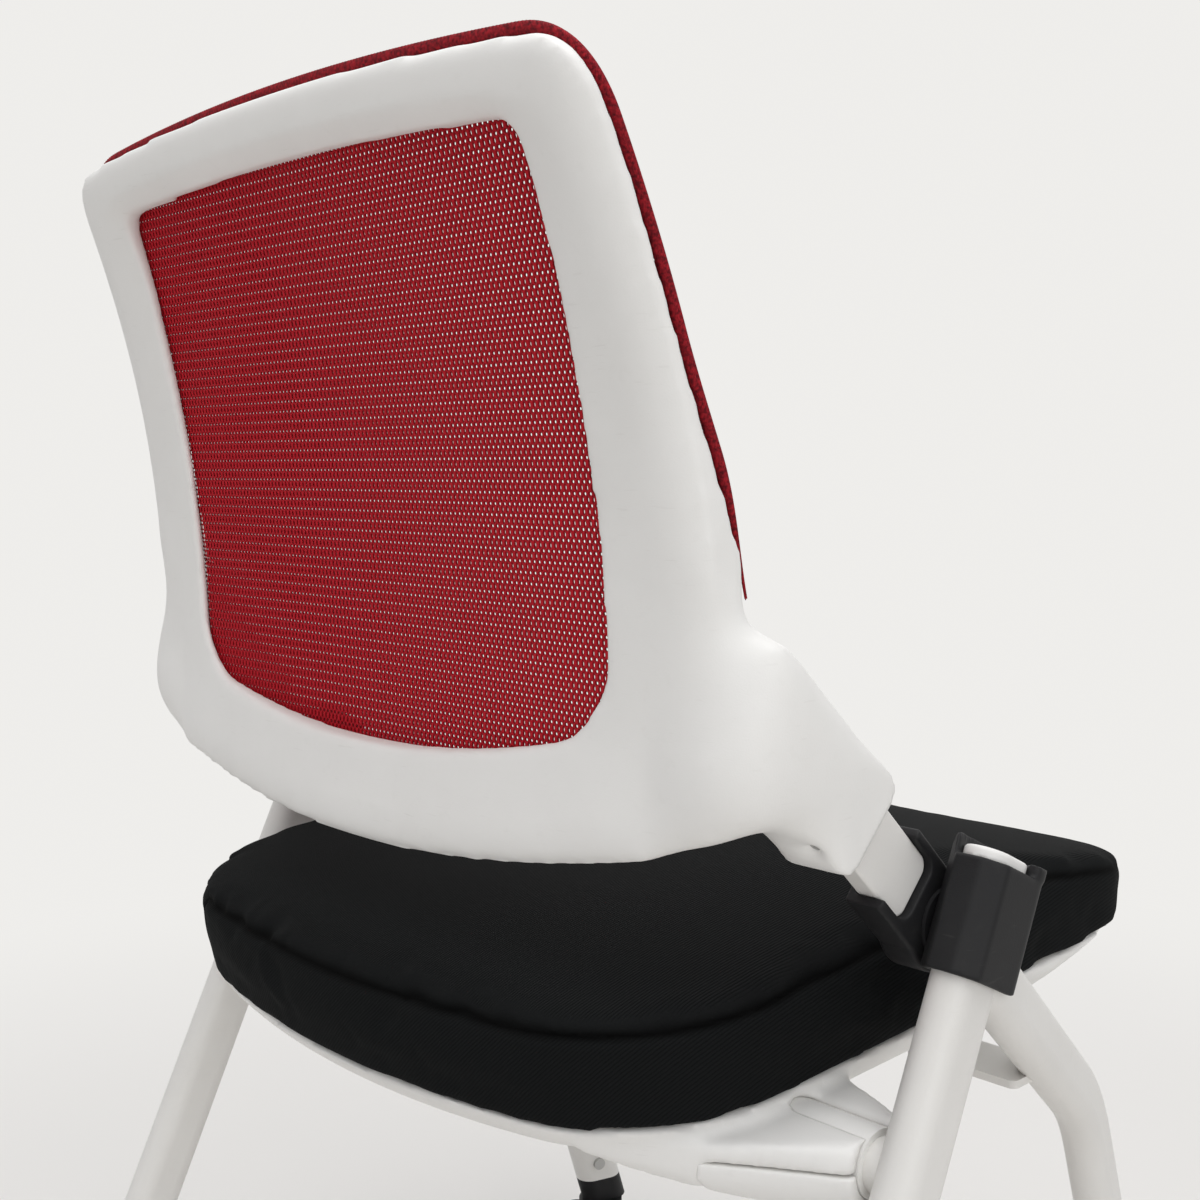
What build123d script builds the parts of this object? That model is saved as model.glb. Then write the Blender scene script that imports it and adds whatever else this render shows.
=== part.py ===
"""Nesting conference chair: mesh back on a white moulded frame, reclining ears, flip-up padded seat.

Millimetres. +Z is up and the sitter faces -Y, so the sitter's right hand is at -X. The origin is on
the floor, in the middle of the chair's overall box. Forward distances are measured from the joint
datum, the point where a rear leg's axis passes the height JOINT_Z.
"""
import os
from math import cos, radians, sin, tan

from build123d import *

# Legs: flat oval steel tube, the rear pair upright behind, the front pair branching off it
JOINT_Z = 470.0
REAR_LEG_X = 269.0
FRONT_LEG_X = 231.0
REAR_LEAN = 26.4
FRONT_LEAN = 17.3
TUBE_DEPTH = 34.0
TUBE_WIDTH = 22.0
TUBE_WALL = 2.0
LEG_TOP = -5.0
BRANCH_Z = 429.0
KNEE_AHEAD = 142.0
KNEE_Z = 300.0
KNEE_RADIUS = 75.0
LEG_END_Z = 78.0

# Oval plug that closes the top of a rear leg
PLUG_HEAD = 5.5
PLUG_EDGE = 1.5
PLUG_INSERT = 18.0

# Black joint cover around the top of a rear leg and the branch of the front leg
COVER_WIDTH = 31.0
COVER_DEPTH = 42.0
COVER_SKIN = 3.0
COVER_LENGTH = 52.0
COVER_FACET = 9.0
COVER_EDGE = 5.0
COVER_RIM = 6.0
COVER_RIM_DEPTH = 9.0

# Recline hinge, on the rear leg's axis
HINGE_Z = 438.7
HINGE_PIN_R = 6.0
HINGE_RUN = 0.05
SOCKET_INNER_X = 231.5
SOCKET_WIDTH = 19.8
SOCKET_ROUND = 23.0
SOCKET_RIM = 5.0
SOCKET_MOUTH = 44.0
SOCKET_EDGE = 2.0
BUSH_WALL = 4.0
WASHER_R = 16.5
SIDE_GAP = 0.3

# Flat uprights between the hinge sockets and the ears of the back frame
UPRIGHT_ANGLE = 45.0
UPRIGHT_WIDTH = 32.0
UPRIGHT_THICK = 12.0
UPRIGHT_WALL = 2.0
UPRIGHT_START = 23.0
UPRIGHT_END = 108.0
UPRIGHT_CORNER = 7.0
UPRIGHT_EDGE = 1.6

# Back frame: all its upright profiles are arcs whose foremost point is at the lumbar height
LUMBAR_Z = 545.0
BACK_REAR_AHEAD = -141.0
BACK_REAR_RADIUS = 600.0
BACK_DEPTH_TOP = 11.5
BACK_DEPTH_LOW = 24.0
DEPTH_TOP_Z = 700.0
DEPTH_LOW_Z = 580.0
MESH_AHEAD = -142.0
MESH_RADIUS = 800.0
BACK_HOLLOW = 16.0
BACK_STATIONS = 9
BACK_HALF = 235.0
BACK_TAPER = 0.098
BACK_TOP_Z = 817.0
BACK_TOP_CROWN = 10.0
BACK_TOP_CORNER = 28.0
BACK_BOTTOM_Z = 461.0
BACK_BOTTOM_BOW = 32.0
BACK_BOTTOM_CORNER = 24.0
WINDOW_HALF_TOP = 167.0
WINDOW_HALF_BOTTOM = 172.0
WINDOW_TOP_Z = 791.0
WINDOW_TOP_CROWN = 6.0
WINDOW_BOTTOM_Z = 510.0
WINDOW_BOTTOM_BOW = 24.0
WINDOW_TOP_CORNER = 12.0
WINDOW_BOTTOM_CORNER = 42.0

# Ears that carry the back frame forward to the uprights
EAR_INNER_X = 231.0
EAR_OUTER_X = 252.0
EAR_END = 70.0
EAR_END_WIDTH = 50.0
EAR_TOP_AHEAD = -106.0
EAR_TOP_Z = 569.0
EAR_NOTCH_AHEAD = -126.0
EAR_NOTCH_Z = 584.0
EAR_SHOULDER_AHEAD = -132.0
EAR_SHOULDER_Z = 552.0
EAR_ARCH_AHEAD = -112.0
EAR_ARCH_Z = 500.0
EAR_ROOT_X = 205.0
EAR_ROOT_AHEAD = -148.0
EAR_ROOT_TOP_Z = 530.0
EAR_ROOT_LOW_Z = 499.0
EAR_ROUND = 8.0
EAR_TOP_ROUND = 20.0
EAR_NOTCH_ROUND = 6.0
EAR_BEND = 28.0

# Red mesh cover on the front of the back frame, with its rolled edge
SHEET_THICK = 1.6
SHEET_GAP = 0.2
EDGE_THICK = 5.0
EDGE_WIDTH = 7.0
EDGE_STANDOUT = 2.0
EDGE_TOP_RISE = 11.0
SHEET_LOWER_HALF = 203.0
SHEET_STEP_Z = 592.0

# Seat: moulded shell, board and upholstered pad on a plane that falls to the rear
SEAT_EDGE_Z = 371.0
SEAT_TILT = 6.1
SEAT_HALF_REAR = 206.0
SEAT_HALF_FRONT = 239.0
SEAT_REAR = 184.0
SEAT_FRONT = 232.0
SEAT_REAR_BOW = 36.0
SEAT_FRONT_BOW = 12.0
SEAT_SIDE_BOW = 3.0
SEAT_CORNER_REAR = 102.0
SEAT_CORNER_FRONT = 60.0
SHELL_THICK = 14.0
SHELL_INSET = 6.0
SHELL_DRAFT = 10.0
SHELL_FRONT_DRAFT = 50.0
BOWL_DEPTH = 28.0
BOWL_INSET = 60.0
BOWL_FRONT_INSET = 110.0
BOARD_THICK = 9.0
BOARD_INSET = 12.0
PAD_BOXING = 47.0
PAD_CROWN = 13.0
CROWN_RUN = 120.0
CROWN_STEPS = 3
FALL_START = -20.0
FALL_FRONT = 18.0
PAD_DRAW_IN = 4.0
PAD_GAP = 0.3

# Seat pivot: cross tube between the rear legs, arms of the shell, split bearing caps
PIVOT_Z = 342.0
CROSS_TUBE_R = 12.7
CROSS_TUBE_WALL = 2.0
PIVOT_RUN = 0.05
PIVOT_BUSH_WALL = 3.0
PIVOT_BUSH_LENGTH = 52.0
ARM_OUTER_X = 253.0
ARM_END_SIZE = 42.0
ARM_END_ROUND = 20.0
ARM_MID_X = 205.0
ARM_MID_LENGTH = 84.0
ARM_MID_HEIGHT = 42.0
ARM_ROOT_X = 150.0
ARM_ROOT_LENGTH = 124.0
ARM_ROOT_HEIGHT = 26.0
ARM_ROOT_BACK = 27.0
ARM_ROOT_RAISE = 12.0
CAP_INNER_X = 196.0
CAP_SCREW_X = 205.0
CAP_SCREW_DEPTH = 10.0
CAP_SCREW_LENGTH = 24.0

# Stops that carry the front of the seat on the front legs
STOP_AHEAD = 66.0
STOP_X = 196.0
STOP_TOP_Z = 344.0
STOP_PLATE = 4.0
STOP_LENGTH = 34.0
STOP_INNER_X = 184.0
BUMPER_R = 11.0
BUMPER_HEIGHT = 7.0
FOOT_R = 13.0

# Screws
SCREW_R = 2.5
SCREW_HEAD_R = 4.5
SCREW_HEAD = 2.6

# Twin-wheel casters on vertical stems in tapered leg ends
CASTER_FACE_Z = 59.0
ADAPTOR_INSERT = 26.0
LEG_SCREW_Z = 94.0
LEG_SCREW_LENGTH = 12.0
STEM_R = 5.5
STEM_RUN = 0.05
STEM_BOTTOM_Z = 47.0
STEM_TOP_Z = 80.0
WHEEL_R = 25.0
WHEEL_WIDTH = 15.0
WHEEL_EDGE = 3.0
WHEEL_DISH = 2.0
WHEEL_DISH_R = 16.0
WHEEL_WELL = 1.2
WHEEL_SIDE_GAP = 0.8
CASTER_WEB = 8.0
CASTER_TRAIL = 18.0
HOOD_WALL = 2.4
HOOD_SKIRT_Z = 14.0
HOOD_GAP = 1.0
HOOD_EDGE = 1.6
BOSS_R = 17.0
AXLE_R = 4.0
AXLE_RUN = 0.05

SIDES = (("right", -1), ("left", 1))
ENDS = ("front", "rear")

# Places that follow from the sizes above
rear_slope = tan(radians(REAR_LEAN))
front_slope = tan(radians(FRONT_LEAN))
stem_axis_z = (CASTER_FACE_Z + STEM_TOP_Z) / 2
rear_stem_ahead = -(JOINT_Z - stem_axis_z) * rear_slope
front_stem_ahead = KNEE_AHEAD + (KNEE_Z - stem_axis_z) * front_slope
hood_r = WHEEL_R + WHEEL_WELL + HOOD_WALL
hood_width = CASTER_WEB + 2 * (WHEEL_SIDE_GAP + WHEEL_WIDTH)
joint_y = (front_stem_ahead + BOSS_R + rear_stem_ahead - CASTER_TRAIL - hood_r) / 2
socket_outer_x = SOCKET_INNER_X + SOCKET_WIDTH
upright_mid_x = (EAR_INNER_X + EAR_OUTER_X) / 2
cover_inner_x = REAR_LEG_X - COVER_WIDTH / 2
pin_end_x = REAR_LEG_X + COVER_WIDTH / 2 - COVER_SKIN
inner_depth = TUBE_DEPTH - 2 * TUBE_WALL
inner_width = TUBE_WIDTH - 2 * TUBE_WALL
socket_bore_r = HINGE_PIN_R + HINGE_RUN + BUSH_WALL
pivot_bore_r = CROSS_TUBE_R + PIVOT_RUN + PIVOT_BUSH_WALL
through = 2 * BACK_TOP_Z


def ahead(distance):
    """Y of a place that lies this far in front of the joint datum."""
    return joint_y - distance


def leg_ahead(z):
    """Forward distance of a rear leg's axis at a height."""
    return -(JOINT_Z - z) * rear_slope


hinge_y = ahead(leg_ahead(HINGE_Z))
pivot_y = ahead(leg_ahead(PIVOT_Z))


def save(piece, label):
    """Label a finished piece and write it as its own file."""
    piece.part.label = label
    export_step(piece.part, f"parts/{label}.step")


def rear_leg_plane(sign, along):
    """Cross-section of a rear leg, this far up its axis from the joint datum."""
    lean = radians(REAR_LEAN)
    origin = (sign * REAR_LEG_X, joint_y - along * sin(lean), JOINT_Z + along * cos(lean))
    return Plane(origin=origin, x_dir=(1, 0, 0), z_dir=(0, -sin(lean), cos(lean)))


def front_leg_points(sign):
    """Branch, knee and foot of a front leg's axis."""
    branch = Vector(sign * REAR_LEG_X, ahead(leg_ahead(BRANCH_Z)), BRANCH_Z)
    knee = Vector(sign * FRONT_LEG_X, ahead(KNEE_AHEAD), KNEE_Z)
    foot = Vector(sign * FRONT_LEG_X, ahead(KNEE_AHEAD + KNEE_Z * front_slope), 0)
    return branch, knee, foot


def front_leg_plane(sign):
    """Cross-section of the lower run of a front leg, at its knee, square to the plane of its bend."""
    branch, knee, foot = front_leg_points(sign)
    return Plane(origin=knee, x_dir=(knee - branch).cross(foot - knee), z_dir=knee - foot)


def side_plane(sign, inner_x, outer_x):
    """Upright plane at the side of a slab that lies between two distances from the middle."""
    return Plane.YZ.offset(min(sign * inner_x, sign * outer_x))


def leg_length(along):
    """Axis length from a place on a rear leg down past the floor."""
    return (JOINT_Z + along) / cos(radians(REAR_LEAN))


def oval(depth, width, mode=Mode.ADD):
    """Flat oval section with its long side fore and aft."""
    SlotOverall(depth, width, rotation=90, mode=mode)


def rear_leg_core(sign, mode):
    """Full outline of a rear leg, used to fit its neighbours to it."""
    with BuildSketch(rear_leg_plane(sign, LEG_TOP)) as section:
        oval(TUBE_DEPTH, TUBE_WIDTH)
    extrude(section.sketch, amount=-leg_length(LEG_TOP), mode=mode)


def front_leg_run(sign, hollow, mode):
    """Sweep of a front leg's oval along its branch, knee and foot."""
    branch, knee, foot = front_leg_points(sign)
    run = knee - branch
    with BuildLine() as axis:
        FilletPolyline(branch, knee, foot, radius=KNEE_RADIUS)
    with BuildSketch(Plane(origin=branch, x_dir=run.cross(foot - knee), z_dir=run)) as section:
        oval(TUBE_DEPTH, TUBE_WIDTH)
        if hollow:
            oval(inner_depth, inner_width, Mode.SUBTRACT)
    sweep(section.sketch, path=axis.line, mode=mode)


def rod(y, z, radius, inner_x, outer_x, sign=1, mode=Mode.ADD):
    """Round bar or hole along X, between two distances from the middle."""
    with BuildSketch(side_plane(sign, inner_x, outer_x)) as section:
        with Locations((y, z)):
            Circle(radius)
    extrude(section.sketch, amount=outer_x - inner_x, mode=mode)


def make_rear_leg(side, sign):
    """Straight oval tube with the hinge pin's cross hole near its top."""
    with BuildPart() as leg:
        with BuildSketch(rear_leg_plane(sign, LEG_TOP)):
            oval(TUBE_DEPTH, TUBE_WIDTH)
            oval(inner_depth, inner_width, Mode.SUBTRACT)
        extrude(amount=-leg_length(LEG_TOP))
        split(bisect_by=Plane.XY.offset(LEG_END_Z), keep=Keep.TOP)
        rod(hinge_y, HINGE_Z, HINGE_PIN_R, REAR_LEG_X - TUBE_WIDTH, REAR_LEG_X + TUBE_WIDTH, sign,
            Mode.SUBTRACT)
        leg_end_screw("rear", sign, Mode.SUBTRACT)
    save(leg, f"rear_leg_{side}")


def make_front_leg(side, sign):
    """Bent oval tube, coped to the rear leg that it branches from."""
    with BuildPart() as leg:
        front_leg_run(sign, True, Mode.ADD)
        rear_leg_core(sign, Mode.SUBTRACT)
        split(bisect_by=Plane.XY.offset(LEG_END_Z), keep=Keep.TOP)
        rod(hinge_y, HINGE_Z, HINGE_PIN_R, REAR_LEG_X - TUBE_WIDTH, REAR_LEG_X + TUBE_WIDTH, sign,
            Mode.SUBTRACT)
        leg_end_screw("front", sign, Mode.SUBTRACT)
    save(leg, f"front_leg_{side}")


def make_leg_plug(side, sign):
    """Oval plug with a rounded head on the open top of a rear leg."""
    with BuildPart() as plug:
        with BuildSketch(rear_leg_plane(sign, LEG_TOP)):
            oval(TUBE_DEPTH, TUBE_WIDTH)
        extrude(amount=PLUG_HEAD)
        fillet(plug.edges().group_by(Axis.Z)[-1], PLUG_EDGE)
        with BuildSketch(rear_leg_plane(sign, LEG_TOP)):
            oval(inner_depth, inner_width)
        extrude(amount=-PLUG_INSERT)
    save(plug, f"leg_plug_{side}")


def make_joint_cover(side, sign):
    """Faceted sleeve around the leg and its branch, with a raised rim in front of the plug."""
    top = rear_leg_plane(sign, LEG_TOP)
    with BuildPart() as cover:
        with BuildSketch(top) as outline:
            Rectangle(COVER_WIDTH, COVER_DEPTH)
            chamfer(outline.vertices().group_by(Axis.Y)[-1], COVER_FACET)
            fillet(outline.vertices().group_by(Axis.Y)[0], COVER_EDGE)
        extrude(amount=-COVER_LENGTH)
        with BuildSketch(top):
            with Locations((0, (COVER_RIM_DEPTH - COVER_DEPTH) / 2)):
                RectangleRounded(COVER_WIDTH, COVER_RIM_DEPTH, COVER_RIM_DEPTH / 3)
        extrude(amount=COVER_RIM)
        rear_leg_core(sign, Mode.SUBTRACT)
        with BuildSketch(top):
            oval(TUBE_DEPTH + 2 * SIDE_GAP, TUBE_WIDTH + 2 * SIDE_GAP)
        extrude(amount=PLUG_HEAD + COVER_RIM, mode=Mode.SUBTRACT)
        front_leg_run(sign, False, Mode.SUBTRACT)
        rod(hinge_y, HINGE_Z, HINGE_PIN_R, cover_inner_x - SIDE_GAP, pin_end_x, sign, Mode.SUBTRACT)
    save(cover, f"joint_cover_{side}")


def make_hinge(side, sign):
    """Pin through the leg, thrust washer, socket of the back's upright and its rubber torsion bush."""
    with BuildPart() as pin:
        rod(hinge_y, HINGE_Z, HINGE_PIN_R, SOCKET_INNER_X, pin_end_x, sign)
    save(pin, f"hinge_pin_{side}")

    with BuildPart() as washer:
        washer_inner_x = socket_outer_x + SIDE_GAP
        rod(hinge_y, HINGE_Z, WASHER_R, washer_inner_x, cover_inner_x, sign)
        rod(hinge_y, HINGE_Z, HINGE_PIN_R, washer_inner_x, cover_inner_x, sign, Mode.SUBTRACT)
    save(washer, f"hinge_washer_{side}")

    with BuildPart() as bush:
        rod(hinge_y, HINGE_Z, socket_bore_r, SOCKET_INNER_X, socket_outer_x, sign)
        rod(hinge_y, HINGE_Z, HINGE_PIN_R + HINGE_RUN, SOCKET_INNER_X, socket_outer_x, sign,
            Mode.SUBTRACT)
    save(bush, f"torsion_bush_{side}")

    with BuildPart() as socket:
        with BuildSketch(side_plane(sign, SOCKET_INNER_X, socket_outer_x)):
            with Locations((hinge_y, HINGE_Z)):
                Circle(SOCKET_ROUND)
            with Locations(Location((hinge_y, HINGE_Z, 0), (0, 0, UPRIGHT_ANGLE))):
                with Locations((SOCKET_MOUTH / 2, 0)):
                    Rectangle(SOCKET_MOUTH, UPRIGHT_WIDTH + 2 * SOCKET_RIM)
        extrude(amount=SOCKET_WIDTH)
        fillet(socket.edges().filter_by(Plane.YZ), SOCKET_EDGE)
        rod(hinge_y, HINGE_Z, socket_bore_r, SOCKET_INNER_X, socket_outer_x, sign, Mode.SUBTRACT)
        upright_bar(sign, 0, Mode.SUBTRACT)
        upright_bar(sign, SOCKET_WIDTH, Mode.SUBTRACT)
    save(socket, f"hinge_socket_{side}")


def upright_bar(sign, outward, mode, shell=0):
    """Flat bar along the upright's axis, moved outward to open a pocket, thinned by a shell."""
    width = UPRIGHT_WIDTH - 2 * shell
    length = UPRIGHT_END - UPRIGHT_START - 2 * shell
    inner_x = upright_mid_x - UPRIGHT_THICK / 2 + shell
    outer_x = upright_mid_x + UPRIGHT_THICK / 2 - shell + outward
    middle = (UPRIGHT_START + UPRIGHT_END) / 2
    with BuildSketch(side_plane(sign, inner_x, outer_x)) as section:
        with Locations(Location((hinge_y, HINGE_Z, 0), (0, 0, UPRIGHT_ANGLE))):
            with Locations((middle, 0)):
                RectangleRounded(length, width, UPRIGHT_CORNER - shell)
    extrude(section.sketch, amount=outer_x - inner_x, mode=mode)


def make_upright(side, sign):
    """Flat hollow upright, closed at both rounded ends."""
    with BuildPart() as upright:
        upright_bar(sign, 0, Mode.ADD)
        fillet(upright.edges(), UPRIGHT_EDGE)
        upright_bar(sign, 0, Mode.SUBTRACT, UPRIGHT_WALL)
        ear_screw(sign, SIDE_GAP, Mode.SUBTRACT)
    save(upright, f"back_upright_{side}")


def back_half(z):
    """Half-width of the back frame at a height."""
    return BACK_HALF + (LUMBAR_Z - z) * BACK_TAPER


def profile_y(foremost, radius, z):
    """Y of one of the back's upright profiles at a height."""
    return ahead(foremost - (z - LUMBAR_Z) ** 2 / (2 * radius))


def rim_y(z):
    """Y of the front rim at a height: the side wall is deep at the ears and thins out above them."""
    share = min(1, max(0, (z - DEPTH_LOW_Z) / (DEPTH_TOP_Z - DEPTH_LOW_Z)))
    ease = share ** 2 * (3 - 2 * share)
    depth = BACK_DEPTH_LOW + (BACK_DEPTH_TOP - BACK_DEPTH_LOW) * ease
    return profile_y(BACK_REAR_AHEAD, BACK_REAR_RADIUS, z) - depth


def rear_hollow(z):
    """How far the middle of the rear face lies behind its sides: none at the top edge."""
    return BACK_HOLLOW * (BACK_TOP_Z - z) / (BACK_TOP_Z - BACK_BOTTOM_Z)


def back_stations():
    """Heights of the back's sections, from below its bottom edge to above its top edge."""
    low = BACK_BOTTOM_Z - EAR_ROUND
    high = BACK_TOP_Z + 2 * EDGE_TOP_RISE
    return [low + (high - low) * step / (BACK_STATIONS - 1) for step in range(BACK_STATIONS)]


def dished_line(z, forward, reach):
    """Front of the back at a height: flat across the mesh, then forward to the rims."""
    half = back_half(z)
    inner = WINDOW_HALF_BOTTOM
    mesh = profile_y(MESH_AHEAD, MESH_RADIUS, z) - forward
    rim = rim_y(z) - forward
    outer = mesh + (rim - mesh) * (half + reach - inner) / (half - inner)
    return (-half - reach, outer), (-inner, mesh), (inner, mesh), (half + reach, outer)


def front_layer(near, far):
    """Loft of a layer on the dished front of the back, between two distances from it."""
    sections = []
    for z in back_stations():
        reach = 2 * EDGE_STANDOUT
        back_points = dished_line(z, near, reach)
        front_points = dished_line(z, far, reach)
        with BuildSketch(Plane.XY.offset(z)) as section:
            with BuildLine():
                Polyline(*back_points, *reversed(front_points), close=True)
            make_face()
        sections.append(section.sketch)
    loft(sections)


def back_outline(grow, rise):
    """Outline of the back frame seen from behind, moved outward and, at the top, upward."""
    top_z = BACK_TOP_Z - BACK_TOP_CROWN
    bottom_z = BACK_BOTTOM_Z + BACK_BOTTOM_BOW
    top_half = back_half(top_z) + grow
    bottom_half = back_half(bottom_z) + grow
    with BuildSketch(Plane.XZ) as outline:
        with BuildLine():
            ThreePointArc((-top_half, top_z + rise), (0, BACK_TOP_Z + rise), (top_half, top_z + rise))
            Line((top_half, top_z + rise), (bottom_half, bottom_z - grow))
            ThreePointArc((bottom_half, bottom_z - grow), (0, BACK_BOTTOM_Z - grow),
                          (-bottom_half, bottom_z - grow))
            Line((-bottom_half, bottom_z - grow), (-top_half, top_z + rise))
        make_face()
        fillet(outline.vertices().group_by(Axis.Y)[-1], BACK_TOP_CORNER + grow)
        fillet(outline.vertices().group_by(Axis.Y)[0], BACK_BOTTOM_CORNER + grow)
    return outline.sketch


def window_outline():
    """Outline of the mesh opening seen from behind."""
    top_z = WINDOW_TOP_Z - WINDOW_TOP_CROWN
    bottom_z = WINDOW_BOTTOM_Z + WINDOW_BOTTOM_BOW
    with BuildSketch(Plane.XZ) as window:
        with BuildLine():
            ThreePointArc((-WINDOW_HALF_TOP, top_z), (0, WINDOW_TOP_Z), (WINDOW_HALF_TOP, top_z))
            Line((WINDOW_HALF_TOP, top_z), (WINDOW_HALF_BOTTOM, bottom_z))
            ThreePointArc((WINDOW_HALF_BOTTOM, bottom_z), (0, WINDOW_BOTTOM_Z),
                          (-WINDOW_HALF_BOTTOM, bottom_z))
            Line((-WINDOW_HALF_BOTTOM, bottom_z), (-WINDOW_HALF_TOP, top_z))
        make_face()
        fillet(window.vertices().group_by(Axis.Y)[-1], WINDOW_TOP_CORNER)
        fillet(window.vertices().group_by(Axis.Y)[0], WINDOW_BOTTOM_CORNER)
    return window.sketch


def ear_points():
    """Corners of an ear seen from the side: rim, end face, arch and root."""
    angle = radians(UPRIGHT_ANGLE)
    end_y = hinge_y + EAR_END * cos(angle)
    end_z = HINGE_Z + EAR_END * sin(angle)
    half_y = EAR_END_WIDTH / 2 * sin(angle)
    half_z = EAR_END_WIDTH / 2 * cos(angle)
    root_y = ahead(EAR_ROOT_AHEAD)
    return (
        (ahead(EAR_TOP_AHEAD), EAR_TOP_Z),
        (end_y - half_y, end_z + half_z),
        (end_y + half_y, end_z - half_z),
        (ahead(EAR_ARCH_AHEAD), EAR_ARCH_Z),
        (root_y, EAR_ROOT_LOW_Z),
        (root_y, EAR_ROOT_TOP_Z),
        (ahead(EAR_SHOULDER_AHEAD), EAR_SHOULDER_Z),
        (ahead(EAR_NOTCH_AHEAD), EAR_NOTCH_Z),
    )


def make_ear(sign):
    """Ear of the back frame: its side outline, flared outward in plan from the stile."""
    root_y = ahead(EAR_ROOT_AHEAD)
    throat_y = ahead(EAR_ARCH_AHEAD)
    tip_y = ahead(leg_ahead(HINGE_Z))
    neck_y = (throat_y + tip_y) / 2
    with BuildPart() as ear:
        with BuildSketch(side_plane(sign, EAR_ROOT_X, EAR_OUTER_X)) as side:
            with BuildLine():
                Polyline(*ear_points(), close=True)
            make_face()
            fillet(side.vertices().sort_by(Axis.X)[0], EAR_ROUND)
            fillet(side.vertices().sort_by(Axis.Y)[0], EAR_ROUND)
            fillet(side.vertices().sort_by(Axis.Y)[-2], EAR_TOP_ROUND)
            fillet(side.vertices().sort_by(Axis.Y)[-1], EAR_NOTCH_ROUND)
        extrude(amount=EAR_OUTER_X - EAR_ROOT_X)
        with BuildSketch(Plane.XY.offset(HINGE_Z)) as plan:
            with BuildLine():
                Polyline((sign * EAR_ROOT_X, root_y), (sign * EAR_OUTER_X, root_y),
                         (sign * EAR_OUTER_X, tip_y), (sign * EAR_INNER_X, tip_y),
                         (sign * EAR_INNER_X, neck_y), (sign * EAR_ROOT_X, throat_y), close=True)
            make_face()
            fillet(plan.vertices().group_by(Axis.Y)[-1].sort_by(Axis.X)[-1 if sign > 0 else 0], EAR_BEND)
        extrude(amount=EAR_NOTCH_Z, mode=Mode.INTERSECT)
    return ear.part


def make_back_frame():
    """Moulded ring: hollow rear face, dished front, window for the mesh, and two ears."""
    ears = [make_ear(sign) for _, sign in SIDES]
    with BuildPart() as frame:
        for z in back_stations():
            front = dished_line(z, 0, 2 * EDGE_STANDOUT)
            rear_y = profile_y(BACK_REAR_AHEAD, BACK_REAR_RADIUS, z)
            rear_mid = (0, rear_y + max(SIDE_GAP, rear_hollow(z)))
            with BuildSketch(Plane.XY.offset(z)):
                with BuildLine():
                    Polyline(*front)
                    Line(front[-1], (front[-1][0], rear_y))
                    ThreePointArc((front[-1][0], rear_y), rear_mid, (front[0][0], rear_y))
                    Line((front[0][0], rear_y), front[0])
                make_face()
        loft()
        extrude(back_outline(0, 0), amount=through, both=True, mode=Mode.INTERSECT)
        extrude(window_outline(), amount=through, both=True, mode=Mode.SUBTRACT)
        add(ears)
        for _, sign in SIDES:
            upright_bar(sign, 0, Mode.SUBTRACT)
            ear_screw(sign, SIDE_GAP, Mode.SUBTRACT)
    save(frame, "back_frame")


def ear_screw(sign, clearance, mode):
    """Screw from an ear's lower edge into its upright, square to the upright."""
    angle = radians(UPRIGHT_ANGLE)
    along = (EAR_END + UPRIGHT_END) / 2
    start_y = hinge_y + along * cos(angle)
    start_z = HINGE_Z + along * sin(angle)
    down = Vector(0, sin(angle), -cos(angle))
    seat_z = UPRIGHT_WIDTH / 2 + SCREW_HEAD
    place = Plane(origin=(sign * upright_mid_x, start_y, start_z), x_dir=(1, 0, 0), z_dir=down)
    with BuildSketch(place.offset(UPRIGHT_WIDTH / 2 - UPRIGHT_WALL)) as shank:
        Circle(SCREW_R)
    extrude(shank.sketch, amount=seat_z - UPRIGHT_WIDTH / 2 + UPRIGHT_WALL, mode=mode)
    with BuildSketch(place.offset(seat_z)) as head:
        Circle(SCREW_HEAD_R + clearance)
    extrude(head.sketch, amount=SCREW_HEAD if clearance == 0 else EAR_END_WIDTH, mode=mode)


def make_ear_screws():
    """One screw in each ear."""
    with BuildPart() as screws:
        for _, sign in SIDES:
            ear_screw(sign, 0, Mode.ADD)
    save(screws, "ear_screws")


def make_mesh_cover():
    """Rolled red edge round the upper back, and the mesh sheet inside it."""
    inside = EDGE_STANDOUT - EDGE_WIDTH
    with BuildPart() as edge:
        front_layer(SHEET_GAP, SHEET_GAP + EDGE_THICK)
        extrude(back_outline(EDGE_STANDOUT, EDGE_TOP_RISE), amount=through, both=True, mode=Mode.INTERSECT)
        extrude(back_outline(inside, inside), amount=through, both=True, mode=Mode.SUBTRACT)
        split(bisect_by=Plane.XY.offset(SHEET_STEP_Z), keep=Keep.TOP)
    save(edge, "cover_edge")

    with BuildPart() as sheet:
        front_layer(SHEET_GAP, SHEET_GAP + SHEET_THICK)
        extrude(back_outline(inside - SHEET_GAP, inside - SHEET_GAP), amount=through, both=True,
                mode=Mode.INTERSECT)
        with BuildSketch(Plane.XZ):
            for _, sign in SIDES:
                with Locations((sign * (SHEET_LOWER_HALF + through / 2), SHEET_STEP_Z - through / 2)):
                    Rectangle(through, through)
        extrude(amount=through, both=True, mode=Mode.SUBTRACT)
    save(sheet, "back_mesh")


def seat_plane(height):
    """Plane of the seat, this far above the lower edge of its upholstery."""
    tilt = radians(SEAT_TILT)
    plane = Plane(origin=(0, joint_y, SEAT_EDGE_Z), x_dir=(1, 0, 0), z_dir=(0, sin(tilt), cos(tilt)))
    return plane.offset(height)


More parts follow.
